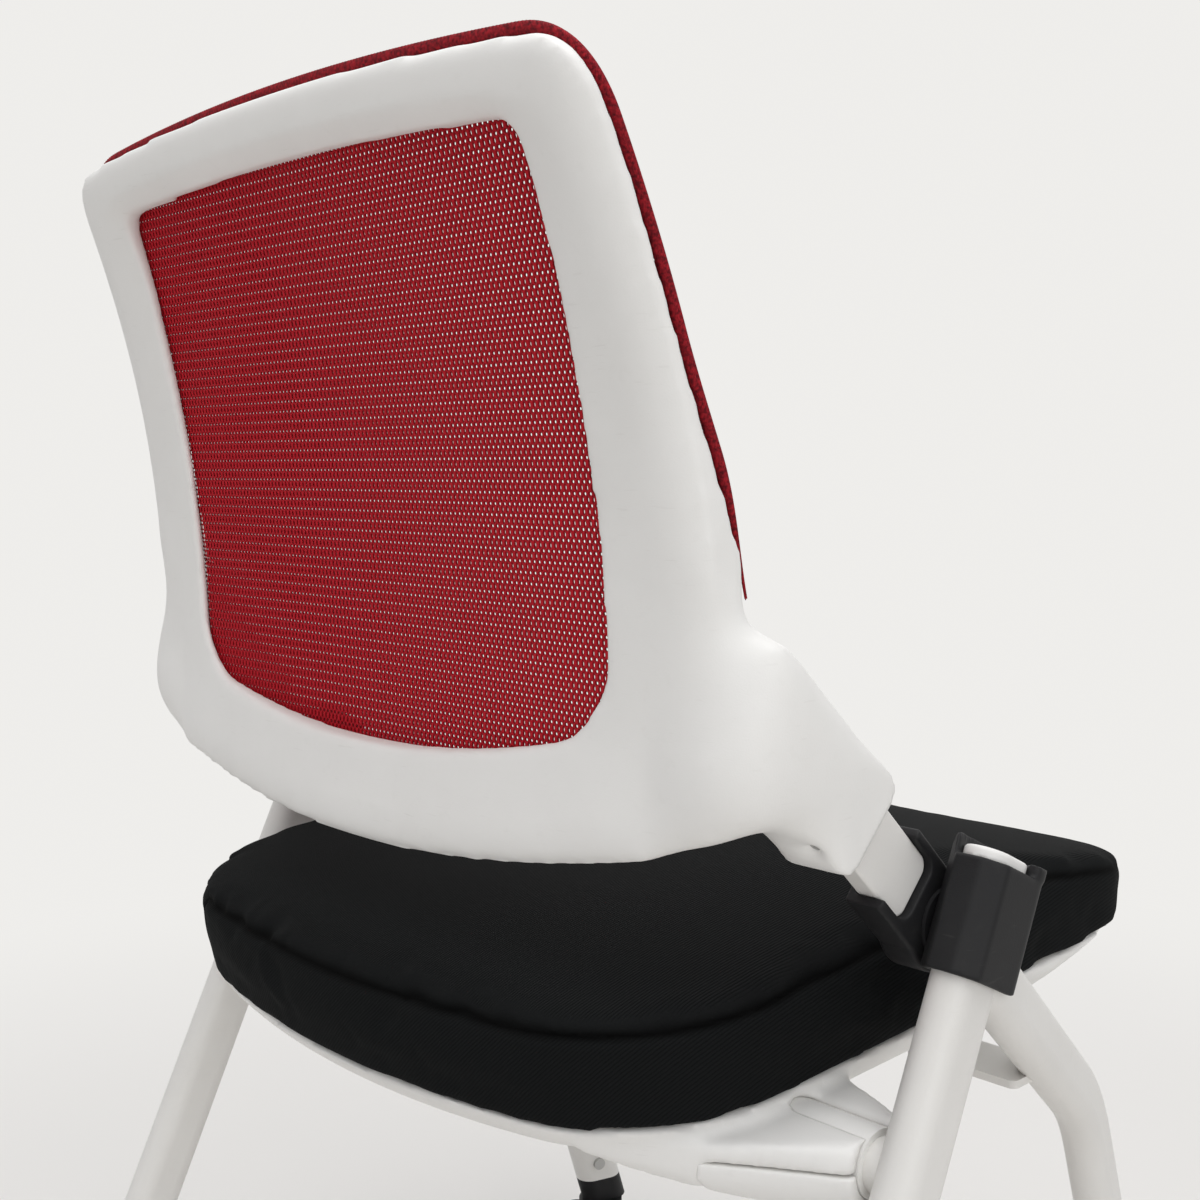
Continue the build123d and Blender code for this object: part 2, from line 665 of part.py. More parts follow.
def seat_section(height, inset, front_inset=0):
    """Outline of the seat on its plane: wider to the front, four bowed edges, rounded corners."""
    rear_half = SEAT_HALF_REAR - inset
    front_half = SEAT_HALF_FRONT - inset
    shrink = rear_half / SEAT_HALF_REAR
    rear = SEAT_REAR - inset
    front = inset + front_inset - SEAT_FRONT
    rear_corner = rear - SEAT_REAR_BOW * shrink
    front_corner = front + SEAT_FRONT_BOW * shrink
    side_half = (rear_half + front_half) / 2 + SEAT_SIDE_BOW * shrink
    side = (rear_corner + front_corner) / 2
    with BuildSketch(seat_plane(height)) as outline:
        with BuildLine():
            ThreePointArc((-rear_half, rear_corner), (0, rear), (rear_half, rear_corner))
            ThreePointArc((rear_half, rear_corner), (side_half, side), (front_half, front_corner))
            ThreePointArc((front_half, front_corner), (0, front), (-front_half, front_corner))
            ThreePointArc((-front_half, front_corner), (-side_half, side), (-rear_half, rear_corner))
        make_face()
        fillet(outline.vertices().group_by(Axis.Y)[-1], SEAT_CORNER_REAR * shrink)
        fillet(outline.vertices().group_by(Axis.Y)[0], SEAT_CORNER_FRONT * shrink)
    return outline.sketch


def crown_section(share):
    """Outline of the pad's crowned top, this share of the way from the boxing to the top."""
    height = PAD_BOXING + PAD_CROWN * (1 - (1 - share) ** 2)
    return seat_section(height, PAD_DRAW_IN / 2 + CROWN_RUN * share)


def waterfall():
    """Side view of the room for the pad: level from the rear, then falling in an arc to the front edge."""
    base = seat_plane(0)
    top = PAD_BOXING + PAD_CROWN + PAD_DRAW_IN
    front = -SEAT_FRONT - PAD_DRAW_IN
    rear = SEAT_REAR + PAD_DRAW_IN
    with BuildSketch(Plane(origin=base.origin, x_dir=base.y_dir, z_dir=base.x_dir)) as side:
        with BuildLine():
            TangentArc((-FALL_START, top), (front, FALL_FRONT), tangent=(-1, 0))
            Polyline((front, FALL_FRONT), (front, 0), (rear, 0), (rear, top), (-FALL_START, top))
        make_face()
    return side.sketch


def make_seat_pad():
    """Upholstered pad: drawn-in boxing, crowned top, and a pocket for the board beneath."""
    with BuildPart() as board:
        extrude(seat_section(0, BOARD_INSET), amount=BOARD_THICK)
    save(board, "seat_board")

    with BuildPart() as pad:
        loft([seat_section(PAD_GAP, PAD_DRAW_IN), seat_section(PAD_BOXING / 2, 0),
              seat_section(PAD_BOXING, PAD_DRAW_IN / 2)])
        loft([crown_section(step / CROWN_STEPS) for step in range(CROWN_STEPS + 1)])
        extrude(waterfall(), amount=through, both=True, mode=Mode.INTERSECT)
        extrude(seat_section(0, BOARD_INSET - PAD_GAP), amount=BOARD_THICK + PAD_GAP, mode=Mode.SUBTRACT)
    save(pad, "seat_pad")


def arm_section(sign, x, back, up, length, height, corner):
    """Rounded section of a seat arm at a distance from the middle."""
    with BuildSketch(Plane.YZ.offset(sign * x)) as section:
        with Locations((pivot_y + back, PIVOT_Z + up)):
            RectangleRounded(length, height, corner)
    return section.sketch


def seat_arm(sign):
    """Arm that sweeps down and outward from under the shell to the pivot."""
    with BuildPart() as arm:
        sections = [
            arm_section(sign, ARM_ROOT_X, ARM_ROOT_BACK, ARM_ROOT_RAISE, ARM_ROOT_LENGTH,
                        ARM_ROOT_HEIGHT, ARM_ROOT_HEIGHT / 3),
            arm_section(sign, ARM_MID_X, ARM_ROOT_BACK / 3, ARM_ROOT_RAISE / 3, ARM_MID_LENGTH,
                        ARM_MID_HEIGHT, ARM_MID_HEIGHT / 3),
            arm_section(sign, ARM_OUTER_X, 0, 0, ARM_END_SIZE, ARM_END_SIZE, ARM_END_ROUND),
        ]
        loft(sections)
        split(bisect_by=seat_plane(-SHELL_THICK / 2), keep=Keep.BOTTOM)
    return arm.part


def pivot_bore(sign):
    """Seat for the pivot bush, and room for the cross tube where it passes under the shell."""
    rod(pivot_y, PIVOT_Z, pivot_bore_r, ARM_OUTER_X - PIVOT_BUSH_LENGTH, ARM_OUTER_X, sign, Mode.SUBTRACT)
    rod(pivot_y, PIVOT_Z, CROSS_TUBE_R + SIDE_GAP, 0, ARM_OUTER_X, sign, Mode.SUBTRACT)


def cap_region(sign, mode):
    """Everything below the pivot, from the cap's inner end outward."""
    width = through
    with BuildSketch(Plane.XY.offset(PIVOT_Z)) as below:
        with Locations((sign * (CAP_INNER_X + width / 2), pivot_y)):
            Rectangle(width, width)
    extrude(below.sketch, amount=-through, mode=mode)


def cap_screw(sign, clearance, mode):
    """Two screws up through a pivot cap, before and behind the bush; clearance opens their pockets."""
    reach = pivot_bore_r + SCREW_HEAD_R + SIDE_GAP
    seat = Plane.XY.offset(PIVOT_Z - CAP_SCREW_DEPTH)
    places = [(sign * CAP_SCREW_X, pivot_y - reach), (sign * CAP_SCREW_X, pivot_y + reach)]
    with BuildSketch(seat) as shanks:
        with Locations(*places):
            Circle(SCREW_R)
    extrude(shanks.sketch, amount=CAP_SCREW_LENGTH, mode=mode)
    with BuildSketch(seat) as heads:
        with Locations(*places):
            Circle(SCREW_HEAD_R + clearance)
    extrude(heads.sketch, amount=-(SCREW_HEAD if clearance == 0 else through), mode=mode)


def make_seat_shell():
    """Shallow bowl of a shell, grooved for the cross tube, with an arm and a stop foot on each side."""
    arms = {sign: seat_arm(sign) for _, sign in SIDES}
    foot_z = STOP_TOP_Z + SIDE_GAP + BUMPER_HEIGHT
    with BuildPart() as shell:
        loft([seat_section(0, SHELL_INSET),
              seat_section(-SHELL_THICK, SHELL_INSET + SHELL_DRAFT, SHELL_FRONT_DRAFT),
              seat_section(-BOWL_DEPTH, BOWL_INSET, BOWL_FRONT_INSET)])
        for _, sign in SIDES:
            add(arms[sign])
            cap_region(sign, Mode.SUBTRACT)
            pivot_bore(sign)
            cap_screw(sign, 0, Mode.SUBTRACT)
            with BuildSketch(Plane.XY.offset(foot_z)) as foot:
                with Locations((sign * STOP_X, ahead(STOP_AHEAD))):
                    Circle(FOOT_R)
            extrude(foot.sketch, amount=SEAT_EDGE_Z - foot_z)
    save(shell, "seat_shell")

    for side, sign in SIDES:
        with BuildPart() as cap:
            add(arms[sign])
            cap_region(sign, Mode.INTERSECT)
            pivot_bore(sign)
            cap_screw(sign, SIDE_GAP, Mode.SUBTRACT)
        save(cap, f"pivot_cap_{side}")

        with BuildPart() as bush:
            rod(pivot_y, PIVOT_Z, pivot_bore_r, ARM_OUTER_X - PIVOT_BUSH_LENGTH, ARM_OUTER_X, sign)
            rod(pivot_y, PIVOT_Z, CROSS_TUBE_R + PIVOT_RUN, ARM_OUTER_X - PIVOT_BUSH_LENGTH, ARM_OUTER_X,
                sign, Mode.SUBTRACT)
        save(bush, f"pivot_bush_{side}")

    with BuildPart() as screws:
        for _, sign in SIDES:
            cap_screw(sign, 0, Mode.ADD)
    save(screws, "pivot_cap_screws")

    with BuildPart() as bumpers:
        for _, sign in SIDES:
            with BuildSketch(Plane.XY.offset(foot_z)) as bumper:
                with Locations((sign * STOP_X, ahead(STOP_AHEAD))):
                    Circle(BUMPER_R)
            extrude(bumper.sketch, amount=-BUMPER_HEIGHT)
    save(bumpers, "seat_bumpers")


def make_cross_tube():
    """Round tube between the rear legs, coped to both, which the seat turns on."""
    with BuildPart() as tube:
        rod(pivot_y, PIVOT_Z, CROSS_TUBE_R, -REAR_LEG_X, REAR_LEG_X)
        rod(pivot_y, PIVOT_Z, CROSS_TUBE_R - CROSS_TUBE_WALL, -REAR_LEG_X, REAR_LEG_X, 1, Mode.SUBTRACT)
        for _, sign in SIDES:
            rear_leg_core(sign, Mode.SUBTRACT)
    save(tube, "cross_tube")


def make_stop_bracket(side, sign):
    """Flat bracket on the inside of a front leg, which the seat's bumper rests on."""
    branch_ahead = leg_ahead(BRANCH_Z)
    run_share = (STOP_AHEAD - branch_ahead) / (KNEE_AHEAD - branch_ahead)
    leg_x = REAR_LEG_X + (FRONT_LEG_X - REAR_LEG_X) * run_share
    with BuildPart() as bracket:
        with BuildSketch(Plane.XY.offset(STOP_TOP_Z - STOP_PLATE)):
            with Locations((sign * (STOP_INNER_X + leg_x) / 2, ahead(STOP_AHEAD))):
                RectangleRounded(leg_x - STOP_INNER_X, STOP_LENGTH, STOP_PLATE)
        extrude(amount=STOP_PLATE)
        front_leg_run(sign, False, Mode.SUBTRACT)
    save(bracket, f"stop_bracket_{side}")


def stem_place(end, sign):
    """Axis of a caster's stem."""
    if end == "front":
        return sign * FRONT_LEG_X, ahead(front_stem_ahead)
    return sign * REAR_LEG_X, ahead(rear_stem_ahead)


def leg_section(end, sign):
    """Cross-section of the leg that a caster is on."""
    return front_leg_plane(sign) if end == "front" else rear_leg_plane(sign, LEG_TOP)


def make_caster_adaptor(end, side, sign):
    """Black leg end: a collar that carries on the tube, an insert, and an upright stem bore."""
    section = leg_section(end, sign)
    x, y = stem_place(end, sign)
    with BuildPart() as adaptor:
        with BuildSketch(section) as outer:
            oval(TUBE_DEPTH, TUBE_WIDTH)
        extrude(outer.sketch, amount=-leg_length(LEG_TOP))
        split(bisect_by=Plane.XY.offset(LEG_END_Z), keep=Keep.BOTTOM)
        with BuildSketch(section) as inner:
            oval(inner_depth, inner_width)
        extrude(inner.sketch, amount=-leg_length(LEG_TOP))
        split(bisect_by=Plane.XY.offset(LEG_END_Z + ADAPTOR_INSERT), keep=Keep.BOTTOM)
        split(bisect_by=Plane.XY.offset(CASTER_FACE_Z), keep=Keep.TOP)
        with BuildSketch(Plane.XY.offset(CASTER_FACE_Z)) as bore:
            with Locations((x, y)):
                Circle(STEM_R + STEM_RUN)
        extrude(bore.sketch, amount=STEM_TOP_Z + STEM_R - CASTER_FACE_Z, mode=Mode.SUBTRACT)
        leg_end_screw(end, sign, Mode.SUBTRACT)
    save(adaptor, f"caster_adaptor_{end}_{side}")


def leg_end_screw(end, sign, mode):
    """Screw through the inner side of a leg into the insert of its adaptor."""
    section = leg_section(end, sign)
    drop = (section.origin.Z - LEG_SCREW_Z) / section.z_dir.Z
    axis = section.origin - section.z_dir * drop
    inward = section.x_dir * (-sign if section.x_dir.X > 0 else sign)
    head = Plane(origin=axis + inward * (TUBE_WIDTH / 2), x_dir=section.z_dir, z_dir=inward)
    with BuildSketch(head) as button:
        Circle(SCREW_HEAD_R)
    extrude(button.sketch, amount=SCREW_HEAD, mode=mode)
    with BuildSketch(head) as shank:
        Circle(SCREW_R)
    extrude(shank.sketch, amount=-LEG_SCREW_LENGTH, mode=mode)


def make_leg_end_screws():
    """One screw in each leg end."""
    with BuildPart() as screws:
        for _, sign in SIDES:
            for end in ENDS:
                leg_end_screw(end, sign, Mode.ADD)
    save(screws, "leg_end_screws")


def make_caster(end, side, sign):
    """Hood, stem, axle and two wheels of a caster that trails to the rear."""
    x, y = stem_place(end, sign)
    axle_y = y + CASTER_TRAIL
    name = f"{end}_{side}"
    well_r = WHEEL_R + WHEEL_WELL
    with BuildPart() as hood:
        rod(axle_y, WHEEL_R, hood_r, x - hood_width / 2, x + hood_width / 2)
        fillet(hood.edges().filter_by(Plane.YZ), HOOD_EDGE)
        with BuildSketch(Plane.XY.offset(WHEEL_R)) as boss:
            with Locations((x, y)):
                Circle(BOSS_R)
        extrude(boss.sketch, amount=CASTER_FACE_Z - HOOD_GAP - WHEEL_R)
        for turn in (-1, 1):
            near = x + turn * CASTER_WEB / 2
            far = x + turn * hood_width
            rod(axle_y, WHEEL_R, well_r, min(near, far), max(near, far), 1, Mode.SUBTRACT)
        split(bisect_by=Plane.XY.offset(HOOD_SKIRT_Z), keep=Keep.TOP)
        rod(axle_y, WHEEL_R, AXLE_R, x - hood_width, x + hood_width, 1, Mode.SUBTRACT)
        with BuildSketch(Plane.XY.offset(STEM_BOTTOM_Z)) as bore:
            with Locations((x, y)):
                Circle(STEM_R)
        extrude(bore.sketch, amount=STEM_TOP_Z - STEM_BOTTOM_Z, mode=Mode.SUBTRACT)
    save(hood, f"caster_hood_{name}")

    with BuildPart() as stem:
        with BuildSketch(Plane.XY.offset(STEM_BOTTOM_Z)) as section:
            with Locations((x, y)):
                Circle(STEM_R)
        extrude(section.sketch, amount=STEM_TOP_Z - STEM_BOTTOM_Z)
    save(stem, f"caster_stem_{name}")

    with BuildPart() as axle:
        rod(axle_y, WHEEL_R, AXLE_R, x - hood_width / 2 + WHEEL_DISH, x + hood_width / 2 - WHEEL_DISH)
    save(axle, f"caster_axle_{name}")

    for turn, place in ((-sign, "inner"), (sign, "outer")):
        near = x + turn * (CASTER_WEB / 2 + WHEEL_SIDE_GAP)
        far = near + turn * WHEEL_WIDTH
        dish = far - turn * WHEEL_DISH
        with BuildPart() as wheel:
            rod(axle_y, WHEEL_R, WHEEL_R, min(near, far), max(near, far))
            fillet(wheel.edges().group_by(Axis.X)[-1 if turn > 0 else 0], WHEEL_EDGE)
            rod(axle_y, WHEEL_R, WHEEL_DISH_R, min(dish, far), max(dish, far), 1, Mode.SUBTRACT)
            rod(axle_y, WHEEL_R, AXLE_R + AXLE_RUN, min(near, far), max(near, far), 1, Mode.SUBTRACT)
        save(wheel, f"caster_wheel_{name}_{place}")


os.makedirs("parts", exist_ok=True)

for side_name, side_sign in SIDES:
    make_rear_leg(side_name, side_sign)
    make_front_leg(side_name, side_sign)
    make_leg_plug(side_name, side_sign)
    make_joint_cover(side_name, side_sign)
    make_hinge(side_name, side_sign)
    make_upright(side_name, side_sign)
make_back_frame()
make_ear_screws()
make_mesh_cover()
make_seat_pad()
make_seat_shell()
make_cross_tube()
make_leg_end_screws()
for side_name, side_sign in SIDES:
    make_stop_bracket(side_name, side_sign)
    for end_name in ENDS:
        make_caster_adaptor(end_name, side_name, side_sign)
        make_caster(end_name, side_name, side_sign)
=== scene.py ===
import math

import bmesh
import bpy
import numpy as np
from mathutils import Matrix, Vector


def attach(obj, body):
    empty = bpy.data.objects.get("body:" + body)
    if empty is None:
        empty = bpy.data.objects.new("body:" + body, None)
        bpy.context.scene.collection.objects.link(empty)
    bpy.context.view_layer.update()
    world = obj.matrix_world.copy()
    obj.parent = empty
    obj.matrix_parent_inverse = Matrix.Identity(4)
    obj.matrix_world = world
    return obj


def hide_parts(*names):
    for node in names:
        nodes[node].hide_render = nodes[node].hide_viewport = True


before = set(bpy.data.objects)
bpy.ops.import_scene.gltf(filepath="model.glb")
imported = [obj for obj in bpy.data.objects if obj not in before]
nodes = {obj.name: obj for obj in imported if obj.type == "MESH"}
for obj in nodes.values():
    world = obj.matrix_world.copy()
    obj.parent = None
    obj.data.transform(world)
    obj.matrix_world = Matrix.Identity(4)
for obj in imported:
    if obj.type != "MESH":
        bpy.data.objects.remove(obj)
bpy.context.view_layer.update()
scene = bpy.context.scene
scene.view_settings.view_transform = "Standard"


# Studio: a plain pale floor under a wide soft light from above, weaker ones from the chair's right and
# from the front, and a pale surround. The camera stands behind the chair at the sitter's right.
def add_node(tree, kind, inputs=None, **settings):
    """Adds a node to a tree; its inputs, by name or number, take a socket or a plain value."""
    node = tree.nodes.new(kind)
    for setting, value in settings.items():
        setattr(node, setting, value)
    for label, value in (inputs or {}).items():
        if isinstance(value, bpy.types.NodeSocket):
            tree.links.new(value, node.inputs[label])
        else:
            node.inputs[label].default_value = value
    return node


def calc(tree, operation, *values):
    """Math on sockets or plain numbers; gives the result's socket."""
    return add_node(tree, "ShaderNodeMath", dict(enumerate(values)), operation=operation).outputs[0]


def between(tree, share, low, dark, high, light):
    """Colour that runs from one to another as a share goes from low to high."""
    ramp = add_node(tree, "ShaderNodeValToRGB", {"Fac": share})
    for element, place, colour in zip(ramp.color_ramp.elements, (low, high), (dark, light)):
        element.position = place
        element.color = (*colour, 1)
    return ramp.outputs["Color"]


def new_material(name):
    """Empty material, with its node tree and its shader."""
    material = bpy.data.materials.new(name)
    material.use_nodes = True
    return material, material.node_tree, material.node_tree.nodes["Principled BSDF"]


def seen_directly(tree):
    """1 for rays from the camera, a mirror surface or a clear one, else 0."""
    rays = add_node(tree, "ShaderNodeLightPath").outputs
    return calc(tree, "MAXIMUM", calc(tree, "MAXIMUM", rays["Is Camera Ray"], rays["Is Glossy Ray"]),
                rays["Is Transmission Ray"])


backdrop_colour = (0.86, 0.85, 0.83, 1)
floor_reach = 9.0
floor_mesh = bpy.data.meshes.new("floor")
floor_mesh.from_pydata([(-floor_reach, -floor_reach, 0), (floor_reach, -floor_reach, 0),
                        (floor_reach, floor_reach, 0), (-floor_reach, floor_reach, 0)], [], [(0, 1, 2, 3)])
floor = bpy.data.objects.new("floor", floor_mesh)
scene.collection.objects.link(floor)
pale_floor, floor_tree, floor_shader = new_material("pale_floor")
floor_place = add_node(floor_tree, "ShaderNodeTexCoord").outputs["Object"]
floor_cloud = add_node(floor_tree, "ShaderNodeTexNoise", {"Vector": floor_place, "Scale": 1.4})
floor_tint = between(floor_tree, floor_cloud.outputs["Fac"], 0, (0.78, 0.76, 0.73), 1, (0.84, 0.82, 0.79))
floor_tree.links.new(floor_tint, floor_shader.inputs["Base Color"])
floor_shader.inputs["Roughness"].default_value = 0.7
floor_far = add_node(floor_tree, "ShaderNodeVectorMath", {0: floor_place}, operation="LENGTH")
floor_fade = add_node(floor_tree, "ShaderNodeMapRange",
                      {"Value": floor_far.outputs["Value"], "From Min": 0.45, "From Max": 1.5},
                      interpolation_type="SMOOTHSTEP")
floor_glow = add_node(floor_tree, "ShaderNodeEmission", {"Color": backdrop_colour})
floor_share = calc(floor_tree, "MULTIPLY", floor_fade.outputs["Result"], seen_directly(floor_tree))
floor_both = add_node(floor_tree, "ShaderNodeMixShader",
                      {"Fac": floor_share, 1: floor_shader.outputs[0], 2: floor_glow.outputs[0]})
floor_tree.links.new(floor_both.outputs[0], floor_tree.nodes["Material Output"].inputs["Surface"])
floor_mesh.materials.append(pale_floor)

world = bpy.data.worlds.new("pale_room")
scene.world = world
world.use_nodes = True
room_tree = world.node_tree
surround = room_tree.nodes["Background"]
surround.inputs["Color"].default_value = (0.95, 0.96, 1.0, 1)
surround.inputs["Strength"].default_value = 0.47
backdrop = add_node(room_tree, "ShaderNodeBackground", {"Color": backdrop_colour})
room_both = add_node(room_tree, "ShaderNodeMixShader",
                     {"Fac": seen_directly(room_tree), 1: surround.outputs[0], 2: backdrop.outputs[0]})
room_tree.links.new(room_both.outputs[0], room_tree.nodes["World Output"].inputs["Surface"])

for lamp_name, lamp_place, aim, size, power in (
        ("ceiling_light", (-0.3, 0.3, 2.7), (0, 0, 0.4), 2.6, 44),
        ("window_light", (-2.6, 1.1, 1.5), (0, 0.1, 0.6), 1.6, 18),
        ("front_fill", (1.6, -2.2, 1.4), (0, 0, 0.5), 1.8, 8)):
    lamp_data = bpy.data.lights.new(lamp_name, "AREA")
    lamp_data.size = size
    lamp_data.energy = power
    lamp = bpy.data.objects.new(lamp_name, lamp_data)
    lamp.location = lamp_place
    lamp.rotation_euler = (Vector(aim) - Vector(lamp_place)).to_track_quat("-Z", "Y").to_euler()
    scene.collection.objects.link(lamp)

camera_data = bpy.data.cameras.new("photo_camera")
camera_data.sensor_fit = "HORIZONTAL"
camera_data.sensor_width = 36.0
camera_data.lens = 46.766
camera = bpy.data.objects.new("photo_camera", camera_data)
camera.location = (-0.65001, 0.58440, 0.65500)
camera.rotation_euler = (math.radians(84.355), math.radians(0.994), math.radians(-132.918))
scene.collection.objects.link(camera)
scene.camera = camera


# Legs, cross tube, stop brackets and uprights: oval and round steel tube and plate, welded and powder
# coated warm white. The coat has a faint orange peel, a little handling dirt and a few fine scuffs.
grain = bpy.data.node_groups.new("surface_grain", "ShaderNodeTree")
for label, value in (("Colour", (0.8, 0.8, 0.8, 1)), ("Soil", (0.6, 0.58, 0.53, 1)), ("Soil Amount", 0.15),
                     ("Scuff Amount", 0.1), ("Roughness", 0.5), ("Grain Size", 900.0)):
    kind = "NodeSocketColor" if isinstance(value, tuple) else "NodeSocketFloat"
    grain.interface.new_socket(label, in_out="INPUT", socket_type=kind).default_value = value
for label, kind in (("Colour", "NodeSocketColor"), ("Roughness", "NodeSocketFloat"),
                    ("Height", "NodeSocketFloat")):
    grain.interface.new_socket(label, in_out="OUTPUT", socket_type=kind)
grain_in = add_node(grain, "NodeGroupInput").outputs
grain_place = add_node(grain, "ShaderNodeTexCoord").outputs["Object"]
fine = add_node(grain, "ShaderNodeTexNoise",
                {"Vector": grain_place, "Scale": grain_in["Grain Size"], "Detail": 3.0}).outputs["Fac"]
cloud = add_node(grain, "ShaderNodeTexNoise",
                 {"Vector": grain_place, "Scale": 9.0, "Detail": 6.0, "Roughness": 0.65}).outputs["Fac"]
speck = add_node(grain, "ShaderNodeTexNoise",
                 {"Vector": grain_place, "Scale": 140.0, "Detail": 4.0}).outputs["Fac"]
drag = add_node(grain, "ShaderNodeMapping",
                {"Vector": grain_place, "Rotation": (0.7, 1.0, 0.4), "Scale": (70.0, 90.0, 700.0)}).outputs[0]
streak = add_node(grain, "ShaderNodeTexNoise", {"Vector": drag, "Scale": 1.0, "Detail": 1.0}).outputs["Fac"]
dirt = add_node(grain, "ShaderNodeMapRange", {"Value": cloud, "From Min": 0.42, "From Max": 0.72}).outputs[0]
dots = add_node(grain, "ShaderNodeMapRange", {"Value": speck, "From Min": 0.62, "From Max": 0.76}).outputs[0]
scuff = add_node(grain, "ShaderNodeMapRange",
                 {"Value": streak, "From Min": 0.69, "From Max": 0.76}).outputs[0]
soil = calc(grain, "MULTIPLY", calc(grain, "MULTIPLY_ADD", dots, 0.55, dirt), grain_in["Soil Amount"])
scuffed = calc(grain, "MULTIPLY", calc(grain, "MULTIPLY", scuff, dirt), grain_in["Scuff Amount"])
soiled = calc(grain, "MINIMUM", calc(grain, "ADD", soil, scuffed), 1.0)
mixed = add_node(grain, "ShaderNodeMix", data_type="RGBA")
for label, value in (("Factor", soiled), ("A", grain_in["Colour"]), ("B", grain_in["Soil"])):
    grain.links.new(value, mixed.inputs[label])
clouded = calc(grain, "MULTIPLY_ADD", cloud, 0.12, grain_in["Roughness"])
add_node(grain, "NodeGroupOutput",
         {"Colour": mixed.outputs["Result"], "Height": fine, "Roughness": clouded})


def grained(name, colour, soil_colour, amounts, roughness, size, strength, depth):
    """Material of a hard surface: the shared grain, with its amounts of soil and of scuffs."""
    material, tree, shader = new_material(name)
    surface = add_node(tree, "ShaderNodeGroup", node_tree=grain)
    for label, value in (("Colour", (*colour, 1)), ("Soil", (*soil_colour, 1)), ("Soil Amount", amounts[0]),
                         ("Scuff Amount", amounts[1]), ("Roughness", roughness), ("Grain Size", size)):
        surface.inputs[label].default_value = value
    bump = add_node(tree, "ShaderNodeBump", {"Strength": strength, "Distance": depth,
                                             "Height": surface.outputs["Height"]})
    tree.links.new(surface.outputs["Colour"], shader.inputs["Base Color"])
    tree.links.new(surface.outputs["Roughness"], shader.inputs["Roughness"])
    tree.links.new(bump.outputs["Normal"], shader.inputs["Normal"])
    return material


def finish_nodes(material, *names):
    """Gives CAD nodes a material."""
    for name in names:
        nodes[name].data.materials.clear()
        nodes[name].data.materials.append(material)


powder_coat = grained("powder_coat", (0.73, 0.715, 0.685), (0.52, 0.50, 0.46), (0.14, 0.12), 0.36,
                      420.0, 0.12, 0.0006)
finish_nodes(powder_coat, "cross_tube")
for side in ("left", "right"):
    finish_nodes(powder_coat, f"rear_leg_{side}", f"front_leg_{side}", f"stop_bracket_{side}",
                 f"back_upright_{side}")


# Screws, hinge pins, caster stems and axles: turned and zinc plated steel, faintly brushed.
# The screws are driven into the mouldings, and the pins and stems are pressed into the tubes.
plated_steel = grained("plated_steel", (0.52, 0.52, 0.51), (0.30, 0.29, 0.27), (0.35, 0.3), 0.28,
                       1600.0, 0.15, 0.0002)
plated_steel.node_tree.nodes["Principled BSDF"].inputs["Metallic"].default_value = 1.0
finish_nodes(plated_steel, "leg_end_screws", "ear_screws", "pivot_cap_screws",
             "hinge_pin_left", "hinge_pin_right")
for end in ("front", "rear"):
    for side in ("left", "right"):
        finish_nodes(plated_steel, f"caster_stem_{end}_{side}", f"caster_axle_{end}_{side}")


# Joint covers, hinge sockets, washers and caster adaptors: glass-filled nylon, black, moulded with a fine
# spark grain and softly rounded edges. The larger ones are remade from their solids with the edges relaxed.
def soften(name, material, body, voxel, rounds, solid, draw=None, melt_rounds=0):
    """Copy of a CAD solid as a moulding: remeshed evenly, drawn into shape, and its edges relaxed."""
    shape = bmesh.new()
    shape.from_mesh(nodes[solid].data)
    bmesh.ops.remove_doubles(shape, verts=shape.verts, dist=1e-6)
    mesh = bpy.data.meshes.new(name)
    shape.to_mesh(mesh)
    shape.free()
    piece = bpy.data.objects.new(name, mesh)
    scene.collection.objects.link(piece)
    even = piece.modifiers.new("even", "REMESH")
    even.mode = "VOXEL"
    even.voxel_size = voxel
    piece.data = bpy.data.meshes.new_from_object(piece.evaluated_get(bpy.context.evaluated_depsgraph_get()))
    piece.modifiers.clear()
    if draw:
        places = np.empty(len(piece.data.vertices) * 3)
        piece.data.vertices.foreach_get("co", places)
        facing = np.empty(len(places))
        piece.data.vertices.foreach_get("normal", facing)
        drawn, softness = draw(places.reshape(-1, 3), facing.reshape(-1, 3))
        piece.data.vertices.foreach_set("co", drawn.ravel())
        gather = piece.vertex_groups.new(name="softness")
        for index in np.nonzero(softness > 0.01)[0]:
            gather.add([int(index)], float(softness[index]), "REPLACE")
        melt = piece.modifiers.new("melt", "SMOOTH")
        melt.vertex_group = "softness"
        melt.iterations = melt_rounds
    relax = piece.modifiers.new("relax", "SMOOTH")
    relax.iterations = rounds
    piece.data = bpy.data.meshes.new_from_object(piece.evaluated_get(bpy.context.evaluated_depsgraph_get()))
    piece.modifiers.clear()
    piece.vertex_groups.clear()
    piece.data.name = name
    piece.data.materials.clear()
    piece.data.materials.append(material)
    for face in piece.data.polygons:
        face.use_smooth = True
        face.material_index = 0
    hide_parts(solid)
    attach(piece, body)


def ease(value, low, high):
    """Smooth step from 0 to 1."""
    share = np.clip((value - low) / (high - low), 0, 1)
    return share * share * (3 - 2 * share)


def raise_rim(places, facing):
    """Raises the inner wall of a joint cover beside the plug, a little over its front wall."""
    lean, rim_rise, wall_rise = math.radians(26.4), 0.006, 0.010
    plug_side, wall_side, wall_run = 0.2605, 0.2585, 0.003
    upward = np.array((0, -math.sin(lean), math.cos(lean)))
    height = places @ upward
    top = height.max() - rim_rise
    wall = ease(np.abs(places[:, 0]), plug_side, wall_side) * ease(height, top - wall_run, top)
    wall *= height < top + 0.001
    return places + np.outer(wall_rise * wall, upward), np.zeros(len(places))


